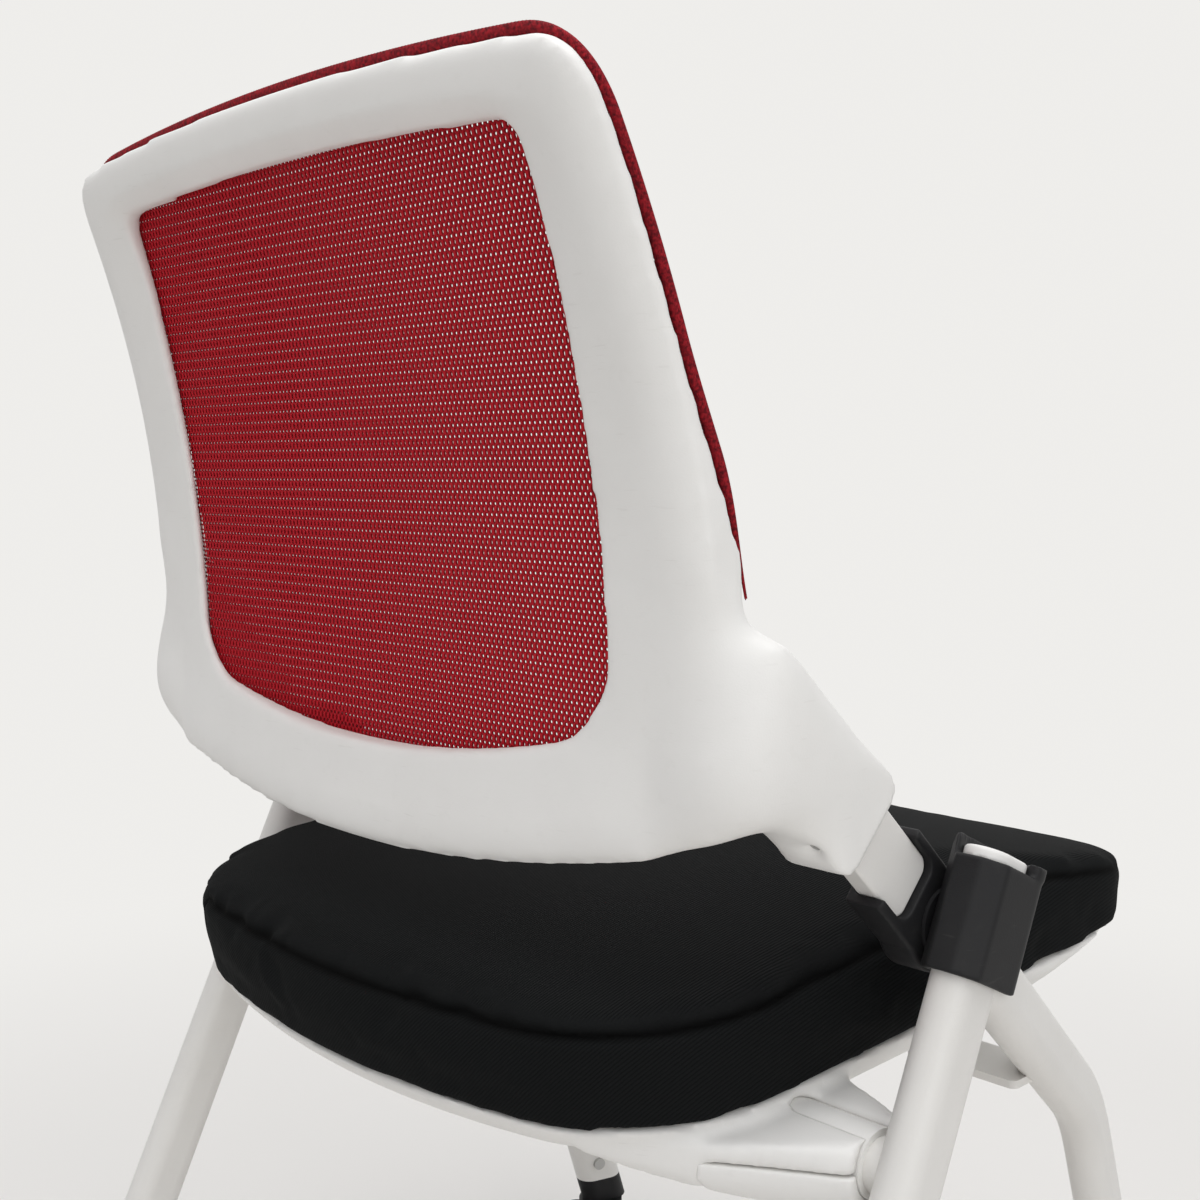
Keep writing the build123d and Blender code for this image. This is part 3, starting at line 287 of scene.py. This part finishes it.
black_nylon = grained("black_nylon", (0.013, 0.013, 0.014), (0.05, 0.049, 0.047), (0.16, 0.5), 0.46,
                      1500.0, 0.30, 0.0003)
black_nylon.node_tree.nodes["Principled BSDF"].inputs["Specular IOR Level"].default_value = 0.17
for side in ("left", "right"):
    soften(f"cover_{side}", black_nylon, "frame", 0.0011, 4, f"joint_cover_{side}",
           raise_rim)
    soften(f"socket_{side}", black_nylon, "backrest", 0.0010, 3, f"hinge_socket_{side}")
    finish_nodes(black_nylon, f"hinge_washer_{side}", f"caster_adaptor_front_{side}",
                 f"caster_adaptor_rear_{side}")


# Casters: twin wheels of hard black plastic with a soft grey-black tread, on a black moulded hood.
# The rubber of the tread is also that of the seat's bumpers and of the springs inside the hinge sockets.
soft_tread = grained("soft_tread", (0.030, 0.030, 0.031), (0.11, 0.105, 0.10), (0.35, 0.5), 0.62,
                     700.0, 0.35, 0.0004)
for end in ("front", "rear"):
    for side in ("left", "right"):
        finish_nodes(black_nylon, f"caster_hood_{end}_{side}")
        finish_nodes(soft_tread, f"caster_wheel_{end}_{side}_inner", f"caster_wheel_{end}_{side}_outer")
finish_nodes(soft_tread, "seat_bumpers", "torsion_bush_left", "torsion_bush_right")


# Back frame: one large polypropylene moulding, a ring with a soft ridge all round, a slope in to the
# mesh, and two ears. It is remade from its solid, with the ridge and the slope drawn into its rear face.
joint_y = -0.00731
hinge_y, hinge_z = 0.00823, 0.4387
lumbar_z, lumbar_half, side_taper = 0.545, 0.235, 0.098
rear_away, rear_curve = 0.141, 1.2
mesh_away, mesh_curve = 0.142, 1.6
back_top, top_half, top_crown = 0.817, 0.208, 0.010
back_low, low_half, low_bow = 0.461, 0.237, 0.032
window_z, window_half, window_taper = 0.534, 0.172, 0.02
window_top, window_top_half, window_crown = 0.791, 0.167, 0.006
window_low, window_bow = 0.510, 0.024
rim_start, rim_full = 0.600, 0.630


def back_half(z):
    """Half-width of the back at a height."""
    return lumbar_half + (lumbar_z - z) * side_taper


def top_z(x):
    """Height of the crowned top edge of the back."""
    return back_top - top_crown * (x / top_half) ** 2


def low_z(x):
    """Height of the bowed lower edge of the back."""
    return back_low + low_bow * (x / low_half) ** 2


def rear_y(z):
    """Y of the rear face at its sides."""
    return joint_y + rear_away + (z - lumbar_z) ** 2 / rear_curve


def mesh_y(z):
    """Y of the back of the mesh between the stiles."""
    return joint_y + mesh_away + (z - lumbar_z) ** 2 / mesh_curve


def soft_min(values, blend):
    """Least of several distances, rounded where two are equal."""
    stack = np.stack(values)
    least = stack.min(axis=0)
    return least - blend * np.log(np.exp(-(stack - least) / blend).sum(axis=0))


def draw_back(places, facing):
    """Draws the ridge and the slope into the rear face, and melts the ears into it."""
    x, y, z = np.abs(places[:, 0]), places[:, 1], places[:, 2]
    corner_blend, edge_band = 0.006, 0.010
    inside = soft_min([back_half(z) - x, top_z(x) - z, z - low_z(x)], corner_blend)
    beyond = -soft_min([window_half - window_taper * (z - window_z) - x,
                        window_top - window_crown * (x / window_top_half) ** 2 - z,
                        z - window_low - window_bow * (x / window_half) ** 2], corner_blend)
    ring = 1 - ease(x, 0.160, 0.225) * (1 - ease(z, 0.545, 0.610))
    rear_facing = ease(facing[:, 1], -0.2, 0.5)
    ridge_in, ridge_rise, edge_drop, least_run = 0.020, 0.0025, 0.008, 0.008
    lip_deep, low_lip, top_lip = 0.006, 0.008, 0.003
    edge_fall = edge_drop * (1 - np.sqrt(1 - (1 - np.clip(inside / ridge_in, 0, 1)) ** 2))
    slope = 1 - np.clip(beyond / np.maximum(beyond + inside - ridge_in, least_run), 0, 1)
    lip = lip_deep + low_lip * (1 - ease(z, 0.500, 0.570)) + top_lip * ease(z, 0.740, 0.790)
    slope_fall = (ridge_rise + np.clip(y - mesh_y(z) - lip, 0, 0.02)) * slope ** 1.3
    places[:, 1] += rear_facing * ring * (ridge_rise - edge_fall - slope_fall)
    rim_push, top_push, root_push = 0.0018, 0.003, 0.0025
    rim = ease(edge_band - inside, 0, edge_band) * ease(z, rim_start, rim_full)
    places[:, 0] += np.sign(places[:, 0]) * rim_push * rim * ease(np.abs(facing[:, 0]), 0.2, 0.6)
    places[:, 2] += top_push * ease(z, 0.785, 0.810)
    from_hinge = ((y - hinge_y) + (z - hinge_z)) / math.sqrt(2)
    below_bar = ease((y - hinge_y) - (z - hinge_z), -0.020, 0.020)
    ear = ease(x, 0.190, 0.222) * (1 - ease(z, 0.570, 0.605)) * ease(from_hinge, 0.074, 0.100)
    root = ear * ease(y, 0.045, 0.100)
    places += facing * (root_push * root * ease(x, 0.200, 0.230))[:, None]
    window = ease(edge_band - np.abs(beyond), 0, edge_band)
    ear_soft, bar_soft, window_soft, rim_soft = 0.04, 0.20, 0.04, 0.05
    softness = np.maximum.reduce([(ear_soft + bar_soft * below_bar) * ear, root, window_soft * window,
                                  rim_soft * rim])
    return places, softness


white_moulding = grained("white_moulding", (0.80, 0.79, 0.765), (0.50, 0.48, 0.44), (0.10, 0.18), 0.44,
                         1300.0, 0.16, 0.0003)
soften("back_moulding", white_moulding, "backrest", 0.0020, 6, "back_frame", draw_back, 400)


# Mesh cover: red polyester net, warp knitted, stretched over the front of the frame. Rows of round
# openings and of upright slots take turns; the net is so thick that they close when seen from the side.
def rim_y(z):
    """Y of the front rim of the frame: deep beside the ears, thin above them."""
    rim_deep, rim_thinner = 0.024, 0.0125
    return rear_y(z) - rim_deep + rim_thinner * ease(z, 0.580, 0.700)


def front_y(x, z):
    """Y of the front of the frame: flat across the mesh, then forward to the rims."""
    share = np.clip((np.abs(x) - window_half) / (back_half(z) - window_half), 0, 1.2)
    return mesh_y(z) + (rim_y(z) - mesh_y(z)) * share


net_gap = 0.0003
net_thick = 0.00085
net_columns, net_rows = 96, 90
low_inset, low_corner, top_corner = 0.0055, 0.028, 0.033
tape_inset, tape_rise, tape_ahead = 0.0010, 0.0075, 0.0028
step_z, step_half = 0.592, 0.2025
net_reach, end_tuck, end_run, lift_run = 0.205, 0.009, 0.050, 0.012
net_points = []
for layer in (net_gap, net_gap + net_thick):
    for row in range(net_rows + 1):
        for column in range(net_columns + 1):
            across = 2 * column / net_columns - 1
            low = low_z(across * net_reach) + low_inset
            high = top_z(across * net_reach) + tape_rise
            net_z = low + (high - low) * row / net_rows
            half = back_half(net_z) - tape_inset
            if net_z < step_z:
                half = min(half, step_half)
            else:
                half -= end_tuck * float(1 - ease(net_z, step_z, step_z + end_run))
            for near, corner in ((high - net_z, top_corner), (net_z - low, low_corner)):
                if near < corner:
                    half -= corner - math.sqrt(max(0, corner ** 2 - (corner - near) ** 2))
            net_x = across * half
            to_tape = min(half * (1 - abs(across)), high - net_z)
            lift = (tape_ahead - net_gap) * float(1 - ease(to_tape, 0, lift_run))
            lift *= float(ease(net_z, rim_start, rim_full))
            net_points.append((net_x, float(front_y(net_x, net_z)) - layer - lift, net_z))
stride = net_columns + 1
front_layer = stride * (net_rows + 1)
net_faces = []
for row in range(net_rows):
    for column in range(net_columns):
        a = row * stride + column
        quad = (a, a + 1, a + 1 + stride, a + stride)
        net_faces.append(quad[::-1])
        net_faces.append(tuple(index + front_layer for index in quad))
net_rim = [*range(net_columns), *range(net_columns, front_layer - 1, stride),
           *range(front_layer - 1, front_layer - stride, -1), *range(front_layer - stride, 0, -stride)]
for a, b in zip(net_rim, net_rim[1:] + net_rim[:1]):
    net_faces.append((a, b, b + front_layer, a + front_layer))
net_mesh = bpy.data.meshes.new("back_net")
net_mesh.from_pydata(net_points, [], net_faces)
for face in net_mesh.polygons:
    face.use_smooth = True
back_net = bpy.data.objects.new("back_net", net_mesh)
scene.collection.objects.link(back_net)

red_net, net_tree, net_shader = new_material("red_net")
net_place = add_node(net_tree, "ShaderNodeTexCoord").outputs["Object"]
net_axes = add_node(net_tree, "ShaderNodeSeparateXYZ", {"Vector": net_place}).outputs
net_pitch, net_rise = 0.0034, 0.0051


def openings(shift, half_wide, half_high):
    """Field of one kind of opening in the net, under 1 inside them."""
    sides = []
    for run, period, half_size in ((net_axes["X"], net_pitch, half_wide),
                                   (net_axes["Z"], net_rise, half_high)):
        spot = calc(net_tree, "FRACT", calc(net_tree, "MULTIPLY_ADD", run, 1 / period, shift))
        side_share = calc(net_tree, "MULTIPLY", calc(net_tree, "SUBTRACT", spot, 0.5), period / half_size)
        sides.append(calc(net_tree, "MULTIPLY", side_share, side_share))
    return calc(net_tree, "ADD", *sides)


field = calc(net_tree, "MINIMUM", openings(0.0, 0.00090, 0.00078), openings(0.5, 0.00066, 0.00130))
strands = add_node(net_tree, "ShaderNodeMapRange",
                   {"Value": field, "From Min": 0.8, "From Max": 1.2}).outputs[0]
yarn = add_node(net_tree, "ShaderNodeMapRange",
                {"Value": field, "From Min": 0.8, "From Max": 2.6}).outputs[0]
fuzz = add_node(net_tree, "ShaderNodeTexNoise",
                {"Vector": net_place, "Scale": 900.0, "Detail": 2.0}).outputs["Fac"]
# Colour of the yarn: random fuzz for its tone, and painted shade that darkens the yarn towards the edges of
# the openings, where it rounds away.
net_tone_and_edge_shade = calc(net_tree, "MULTIPLY_ADD", yarn, 0.35, calc(net_tree, "MULTIPLY", fuzz, 0.65))
net_tint = between(net_tree, net_tone_and_edge_shade, 0.25, (0.22, 0.004, 0.010), 0.75, (0.52, 0.011, 0.021))
net_bump = add_node(net_tree, "ShaderNodeBump", {"Strength": 0.7, "Distance": 0.0006, "Height": yarn})
net_tree.links.new(net_tint, net_shader.inputs["Base Color"])
net_tree.links.new(strands, net_shader.inputs["Alpha"])
net_tree.links.new(net_bump.outputs["Normal"], net_shader.inputs["Normal"])
net_shader.inputs["Roughness"].default_value = 0.75
net_shader.inputs["Specular IOR Level"].default_value = 0.12
net_mesh.materials.append(red_net)
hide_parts("back_mesh")
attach(back_net, "backrest")


# Rolled edge of the cover: a red woven tape sewn round the net and hooked over the rim, from above one
# ear over the top to the other. Its body is a rounded strip; the slanting cords of its weave lie on it.
half_wide, half_deep = 0.0027, 0.0022
corner_run, corner_drop = 0.040, 0.034
corner_z = back_top + tape_rise - top_crown - corner_drop
side_steps, corner_steps, top_steps = 60, 24, 50
tape_fade, tape_tuck, end_size = 0.060, 0.0030, 0.25
half_path = []
for step in range(side_steps):
    path_z = step_z + (corner_z - step_z) * step / (side_steps - 1)
    tuck = tape_tuck * float(1 - ease(path_z, step_z, step_z + tape_fade))
    half_path.append((back_half(path_z) - tape_inset - tuck, path_z))
start_x, start_z = half_path[-1]
end_x = start_x - corner_run
end_z = top_z(end_x) + tape_rise
bend_x, bend_z = back_half(end_z) - tape_inset, top_z(start_x) + tape_rise
for step in range(1, corner_steps):
    t = step / corner_steps
    half_path.append(((1 - t) ** 2 * start_x + 2 * t * (1 - t) * bend_x + t * t * end_x,
                      (1 - t) ** 2 * start_z + 2 * t * (1 - t) * bend_z + t * t * end_z))
for step in range(top_steps):
    path_x = end_x * (1 - step / top_steps)
    half_path.append((path_x, top_z(path_x) + tape_rise))
tape_path = half_path + [(0, top_z(0) + tape_rise)] + [(-px, pz) for px, pz in reversed(half_path)]
tape_line = [Vector((px, float(front_y(px, pz)) - tape_ahead, pz)) for px, pz in tape_path]
tape_along, tape_out, tape_size = [], [], []
section_steps = 16
tape_points, tape_faces = [], []
for index, spot in enumerate(tape_line):
    along = (tape_line[min(index + 1, len(tape_line) - 1)] - tape_line[max(index - 1, 0)]).normalized()
    outward = along.cross(Vector((0, -1, 0))).normalized()
    forward = outward.cross(along).normalized()
    size = end_size + (1 - end_size) * float(ease(spot.z, step_z, step_z + tape_fade))
    tape_along.append(along)
    tape_out.append(outward)
    tape_size.append(size)
    for turn in range(section_steps):
        angle = 2 * math.pi * turn / section_steps
        tape_points.append(spot + outward * (half_wide * size * math.cos(angle))
                           + forward * (half_deep * size * math.sin(angle)))
for index in range(len(tape_line) - 1):
    for turn in range(section_steps):
        a = index * section_steps + turn
        b = index * section_steps + (turn + 1) % section_steps
        tape_faces.append((a, b, b + section_steps, a + section_steps))
tape_faces.append(tuple(range(section_steps)))
tape_faces.append(tuple(range(len(tape_points) - 1, len(tape_points) - section_steps - 1, -1)))
tape_mesh = bpy.data.meshes.new("edge_tape")
tape_mesh.from_pydata(tape_points, [], tape_faces)
tape_shape = bmesh.new()
tape_shape.from_mesh(tape_mesh)
bmesh.ops.recalc_face_normals(tape_shape, faces=tape_shape.faces)
tape_shape.to_mesh(tape_mesh)
tape_shape.free()
for face in tape_mesh.polygons:
    face.use_smooth = True
edge_tape = bpy.data.objects.new("edge_tape", tape_mesh)
scene.collection.objects.link(edge_tape)

red_tape, tape_tree, tape_shader = new_material("red_tape")
tape_place = add_node(tape_tree, "ShaderNodeTexCoord").outputs["Object"]
ply = add_node(tape_tree, "ShaderNodeTexNoise",
               {"Vector": tape_place, "Scale": 650.0, "Detail": 3.0}).outputs["Fac"]
tape_tint = between(tape_tree, ply, 0.35, (0.10, 0.004, 0.008), 0.68, (0.34, 0.012, 0.020))
tape_bump = add_node(tape_tree, "ShaderNodeBump", {"Strength": 0.5, "Distance": 0.0004, "Height": ply})
tape_tree.links.new(tape_tint, tape_shader.inputs["Base Color"])
tape_tree.links.new(tape_bump.outputs["Normal"], tape_shader.inputs["Normal"])
tape_shader.inputs["Roughness"].default_value = 0.75
tape_shader.inputs["Specular IOR Level"].default_value = 0.15
tape_mesh.materials.append(red_tape)
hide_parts("cover_edge")
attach(edge_tape, "backrest")

cord_tree = bpy.data.node_groups.new("tape_cords", "GeometryNodeTree")
cord_sizes = {"Spacing": 0.0022, "Cord Radius": 0.00052, "Half Width": half_wide, "Half Depth": half_deep,
              "Slant": 0.75}
cord_tree.interface.new_socket("Geometry", in_out="INPUT", socket_type="NodeSocketGeometry")
cord_sockets = {label: cord_tree.interface.new_socket(label, in_out="INPUT", socket_type="NodeSocketFloat")
                for label in cord_sizes}
cord_tree.interface.new_socket("Geometry", in_out="OUTPUT", socket_type="NodeSocketGeometry")
cord_in = add_node(cord_tree, "NodeGroupInput").outputs
cord_path = add_node(cord_tree, "GeometryNodeMeshToCurve", {"Mesh": cord_in["Geometry"]}).outputs[0]
cord_spots = add_node(cord_tree, "GeometryNodeResampleCurve",
                      {"Curve": cord_path, "Length": cord_in["Spacing"]}, mode="LENGTH").outputs[0]
path_along, path_out, path_size = (
    add_node(cord_tree, "GeometryNodeInputNamedAttribute", {"Name": label}, data_type=kind).outputs[0]
    for label, kind in (("along", "FLOAT_VECTOR"), ("outward", "FLOAT_VECTOR"), ("size", "FLOAT")))
lengthwise = add_node(cord_tree, "FunctionNodeAlignRotationToVector", {"Vector": path_along}, axis="Z")
turned = add_node(cord_tree, "FunctionNodeAlignRotationToVector",
                  {"Rotation": lengthwise.outputs[0], "Vector": path_out}, axis="X", pivot_axis="Z")
loop = add_node(cord_tree, "GeometryNodeCurvePrimitiveCircle", {"Resolution": 14, "Radius": 1.0}).outputs[0]
loop_scale = add_node(cord_tree, "ShaderNodeCombineXYZ",
                      {"X": cord_in["Half Width"], "Y": cord_in["Half Depth"], "Z": 1.0}).outputs[0]
loop_tilt = add_node(cord_tree, "ShaderNodeCombineXYZ",
                     {"X": cord_in["Slant"], "Y": cord_in["Slant"]}).outputs[0]
oval = add_node(cord_tree, "GeometryNodeTransform", {"Geometry": loop, "Scale": loop_scale}).outputs[0]
wrap = add_node(cord_tree, "GeometryNodeTransform", {"Geometry": oval, "Rotation": loop_tilt}).outputs[0]
round_cord = add_node(cord_tree, "GeometryNodeCurvePrimitiveCircle",
                      {"Resolution": 4, "Radius": cord_in["Cord Radius"]}).outputs[0]
cord = add_node(cord_tree, "GeometryNodeCurveToMesh", {"Curve": wrap, "Profile Curve": round_cord}).outputs[0]
laid = add_node(cord_tree, "GeometryNodeInstanceOnPoints",
                {"Points": cord_spots, "Instance": cord, "Rotation": turned.outputs[0],
                 "Scale": path_size}).outputs[0]
real = add_node(cord_tree, "GeometryNodeRealizeInstances", {"Geometry": laid}).outputs[0]
clad = add_node(cord_tree, "GeometryNodeSetMaterial", {"Geometry": real, "Material": red_tape}).outputs[0]
add_node(cord_tree, "NodeGroupOutput", {"Geometry": clad})

cord_mesh = bpy.data.meshes.new("tape_cords")
cord_mesh.from_pydata(tape_line, [(index, index + 1) for index in range(len(tape_line) - 1)], [])
for label, kind, part, values in (("along", "FLOAT_VECTOR", "vector", tape_along),
                                  ("outward", "FLOAT_VECTOR", "vector", tape_out),
                                  ("size", "FLOAT", "value", tape_size)):
    attribute = cord_mesh.attributes.new(label, kind, "POINT")
    attribute.data.foreach_set(part, np.array(values, np.float32).ravel())
tape_cords = bpy.data.objects.new("tape_cords", cord_mesh)
scene.collection.objects.link(tape_cords)
cord_maker = tape_cords.modifiers.new("cords", "NODES")
cord_maker.node_group = cord_tree
for label, value in cord_sizes.items():
    cord_maker[cord_sockets[label].identifier] = value
tape_cords.data = bpy.data.meshes.new_from_object(
    tape_cords.evaluated_get(bpy.context.evaluated_depsgraph_get()))
tape_cords.modifiers.clear()
for face in tape_cords.data.polygons:
    face.use_smooth = True
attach(tape_cords, "backrest")


# Plugs in the tops of the rear legs, saddle caps and seat shell: white mouldings like the back frame.
# The plugs are pushed in, the caps are screwed up under the shell's arms round plain bearing sleeves.
for side in ("left", "right"):
    soften(f"plug_{side}", white_moulding, "frame", 0.0009, 2, f"leg_plug_{side}")
    soften(f"saddle_cap_{side}", white_moulding, "seat", 0.0014, 2, f"pivot_cap_{side}")
    finish_nodes(white_moulding, f"pivot_bush_{side}")
soften("seat_bowl", white_moulding, "seat", 0.0028, 3, "seat_shell")


# Seat board: birch plywood under the foam, seen only at the edge from below. It is screwed to the shell,
# and the cover of the pad is stapled round it.
seat_ply = grained("seat_ply", (0.55, 0.40, 0.24), (0.32, 0.21, 0.11), (0.6, 0.2), 0.6, 160.0, 0.2, 0.0004)
finish_nodes(seat_ply, "seat_board")


# Seat pad: moulded foam in a sewn cover of black woven polyester, a ribbed top panel seamed to a
# twill boxing all round. It is swelled from its solid as cloth under a little pressure.
seat_tilt = math.radians(6.1)
seat_edge = Vector((0, joint_y, 0.371))


def seat_frame(points):
    """Distance behind the hinge line along the seat plane, and height above that plane."""
    rearward, above = points[:, 1] - seat_edge.y, points[:, 2] - seat_edge.z
    return (rearward * math.cos(seat_tilt) - above * math.sin(seat_tilt),
            above * math.cos(seat_tilt) + rearward * math.sin(seat_tilt))


pad_shape = bmesh.new()
pad_shape.from_mesh(nodes["seat_pad"].data)
bmesh.ops.remove_doubles(pad_shape, verts=pad_shape.verts, dist=1e-6)
pad_mesh = bpy.data.meshes.new("pad_cover")
pad_shape.to_mesh(pad_mesh)
pad_shape.free()
pad_cover = bpy.data.objects.new("pad_cover", pad_mesh)
scene.collection.objects.link(pad_cover)
pad_even = pad_cover.modifiers.new("even", "REMESH")
pad_even.mode = "VOXEL"
pad_even.voxel_size = 0.0045
pad_relax = pad_cover.modifiers.new("relax", "SMOOTH")
pad_relax.iterations = 3
pad_mesh = bpy.data.meshes.new_from_object(pad_cover.evaluated_get(bpy.context.evaluated_depsgraph_get()))
pad_cover.modifiers.clear()
pad_cover.data = pad_mesh
rest = np.empty(len(pad_mesh.vertices) * 3)
pad_mesh.vertices.foreach_get("co", rest)
nose_run, nose_height = seat_frame(rest.reshape(-1, 3))
nose = pad_cover.vertex_groups.new(name="nose")
nose_share = ease(-nose_run, 0.13, 0.20) * ease(nose_height, 0.001, 0.010)
for index in np.nonzero(nose_share > 0.01)[0]:
    nose.add([int(index)], float(nose_share[index]), "REPLACE")
nose_round = pad_cover.modifiers.new("nose", "SMOOTH")
nose_round.vertex_group = "nose"
nose_round.iterations = 30
pad_mesh = bpy.data.meshes.new_from_object(pad_cover.evaluated_get(bpy.context.evaluated_depsgraph_get()))
pad_cover.modifiers.clear()
pad_cover.vertex_groups.clear()
pad_cover.data = pad_mesh
pad_mesh.vertices.foreach_get("co", rest)
rest = rest.reshape(-1, 3)
swell_cap, swell_ticks = 0.005, 18
cloth = pad_cover.modifiers.new("swell", "CLOTH")
cloth.settings.quality = 5
cloth.settings.use_pressure = True
cloth.settings.uniform_pressure_force = 3.0
cloth.settings.tension_stiffness = 25
cloth.settings.compression_stiffness = 25
cloth.settings.effector_weights.gravity = 0
for tick in range(1, swell_ticks + 1):
    scene.frame_set(tick)
swelled = bpy.data.meshes.new_from_object(pad_cover.evaluated_get(bpy.context.evaluated_depsgraph_get()))
pad_cover.modifiers.clear()
moved = np.empty(len(swelled.vertices) * 3)
swelled.vertices.foreach_get("co", moved)
moved = moved.reshape(-1, 3) - rest
moved *= np.minimum(1, swell_cap / np.maximum(np.linalg.norm(moved, axis=1, keepdims=True), 1e-9))
moved *= ease(seat_frame(rest)[1], 0.002, 0.012)[:, None]
pad_mesh.vertices.foreach_set("co", (rest + moved).ravel())
bpy.data.meshes.remove(swelled)
scene.frame_set(1)
pad_fine = pad_cover.modifiers.new("fine", "SUBSURF")
pad_fine.levels = pad_fine.render_levels = 1
pad_mesh = bpy.data.meshes.new_from_object(pad_cover.evaluated_get(bpy.context.evaluated_depsgraph_get()))
pad_cover.modifiers.clear()
pad_cover.data = pad_mesh
cover = np.empty(len(pad_mesh.vertices) * 3)
pad_mesh.vertices.foreach_get("co", cover)
cover = cover.reshape(-1, 3)
normal = np.empty(len(cover) * 3)
pad_mesh.vertices.foreach_get("normal", normal)
back_run, height = seat_frame(cover)
fall_start, fall_width = 0.020, 1.47
seam_height, front_seam_height = 0.0465, 0.059
front_drop = np.clip(fall_start - back_run, 0, None) ** 2 / fall_width
seam_gap = height - np.minimum(seam_height, front_seam_height - front_drop)
seam_wide, bead_away, bead_wide = 0.0022, 0.0055, 0.0026
corner_seam_x, corner_seam_wide = 0.150, 0.0020
groove_deep, bead_high = 0.0026, 0.0006
seam = np.exp(-(seam_gap / seam_wide) ** 2)
bead = np.exp(-((np.abs(seam_gap) - bead_away) / bead_wide) ** 2)
corner_seam = np.exp(-((cover[:, 0] - corner_seam_x) / corner_seam_wide) ** 2)
corner_seam *= (back_run > 0.1) * (seam_gap < 0)
groove = np.maximum(seam, 0.8 * corner_seam)
pulled = 0.15 + 0.85 * ease(back_run, -0.16, -0.02)
cover += normal.reshape(-1, 3) * (pulled * (bead_high * bead - groove_deep * groove))[:, None]
pad_mesh.vertices.foreach_set("co", cover.ravel())
for label, values in (("seam", groove), ("boxing", 1 - ease(seam_gap, -0.001, 0.001)),
                      ("flat_top", ease(normal.reshape(-1, 3)[:, 2], 0.80, 0.95))):
    pad_mesh.attributes.new(label, "FLOAT", "POINT").data.foreach_set("value", values.astype(np.float32))
for face in pad_mesh.polygons:
    face.use_smooth = True

black_weave, weave_tree, weave_shader = new_material("black_weave")
weave_place = add_node(weave_tree, "ShaderNodeTexCoord").outputs["Object"]
rib_wave = add_node(weave_tree, "ShaderNodeTexWave",
                    {"Vector": weave_place, "Scale": 190.0, "Distortion": 0.6,
                     "Detail Scale": 3.0}).outputs["Fac"]
twill_turn = add_node(weave_tree, "ShaderNodeMapping",
                      {"Vector": weave_place, "Rotation": (0.6, 0.785, 0.3)}).outputs[0]
twill_wave = add_node(weave_tree, "ShaderNodeTexWave",
                      {"Vector": twill_turn, "Scale": 210.0, "Distortion": 1.0}).outputs["Fac"]
thread_fuzz = add_node(weave_tree, "ShaderNodeTexNoise",
                       {"Vector": weave_place, "Scale": 1500.0, "Detail": 3.0}).outputs["Fac"]
boxing_share = add_node(weave_tree, "ShaderNodeAttribute", attribute_name="boxing").outputs["Fac"]
seam_shade_share = add_node(weave_tree, "ShaderNodeAttribute", attribute_name="seam").outputs["Fac"]
flat_share = add_node(weave_tree, "ShaderNodeAttribute", attribute_name="flat_top").outputs["Fac"]
ribs = calc(weave_tree, "MULTIPLY_ADD", calc(weave_tree, "SUBTRACT", rib_wave, 0.5), flat_share, 0.5)
twill = calc(weave_tree, "MULTIPLY_ADD", calc(weave_tree, "SUBTRACT", twill_wave, 0.5), 0.6, 0.5)
pattern = add_node(weave_tree, "ShaderNodeMix", data_type="FLOAT")
for label, value in (("Factor", boxing_share), ("A", ribs), ("B", twill)):
    weave_tree.links.new(value, pattern.inputs[label])
threads = calc(weave_tree, "MULTIPLY_ADD", thread_fuzz, 0.5, pattern.outputs["Result"])
weave_tint = between(weave_tree, threads, 0.2, (0.0020, 0.0022, 0.0023), 0.75, (0.0090, 0.0096, 0.0098))
# Painted shade: the seam grooves are painted darker than the weave, as the shadow in the crease.
seam_shade_mix = add_node(weave_tree, "ShaderNodeMix", data_type="RGBA")
seam_shade_mix.inputs["B"].default_value = (0.0015, 0.0015, 0.0015, 1)
weave_tree.links.new(seam_shade_share, seam_shade_mix.inputs["Factor"])
weave_tree.links.new(weave_tint, seam_shade_mix.inputs["A"])
weave_bump = add_node(weave_tree, "ShaderNodeBump", {"Strength": 0.5, "Distance": 0.0005, "Height": threads})
weave_tree.links.new(seam_shade_mix.outputs["Result"], weave_shader.inputs["Base Color"])
weave_tree.links.new(weave_bump.outputs["Normal"], weave_shader.inputs["Normal"])
weave_shader.inputs["Roughness"].default_value = 0.82
weave_shader.inputs["Specular IOR Level"].default_value = 0.04
pad_mesh.materials.clear()
pad_mesh.materials.append(black_weave)
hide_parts("seat_pad")
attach(pad_cover, "seat")
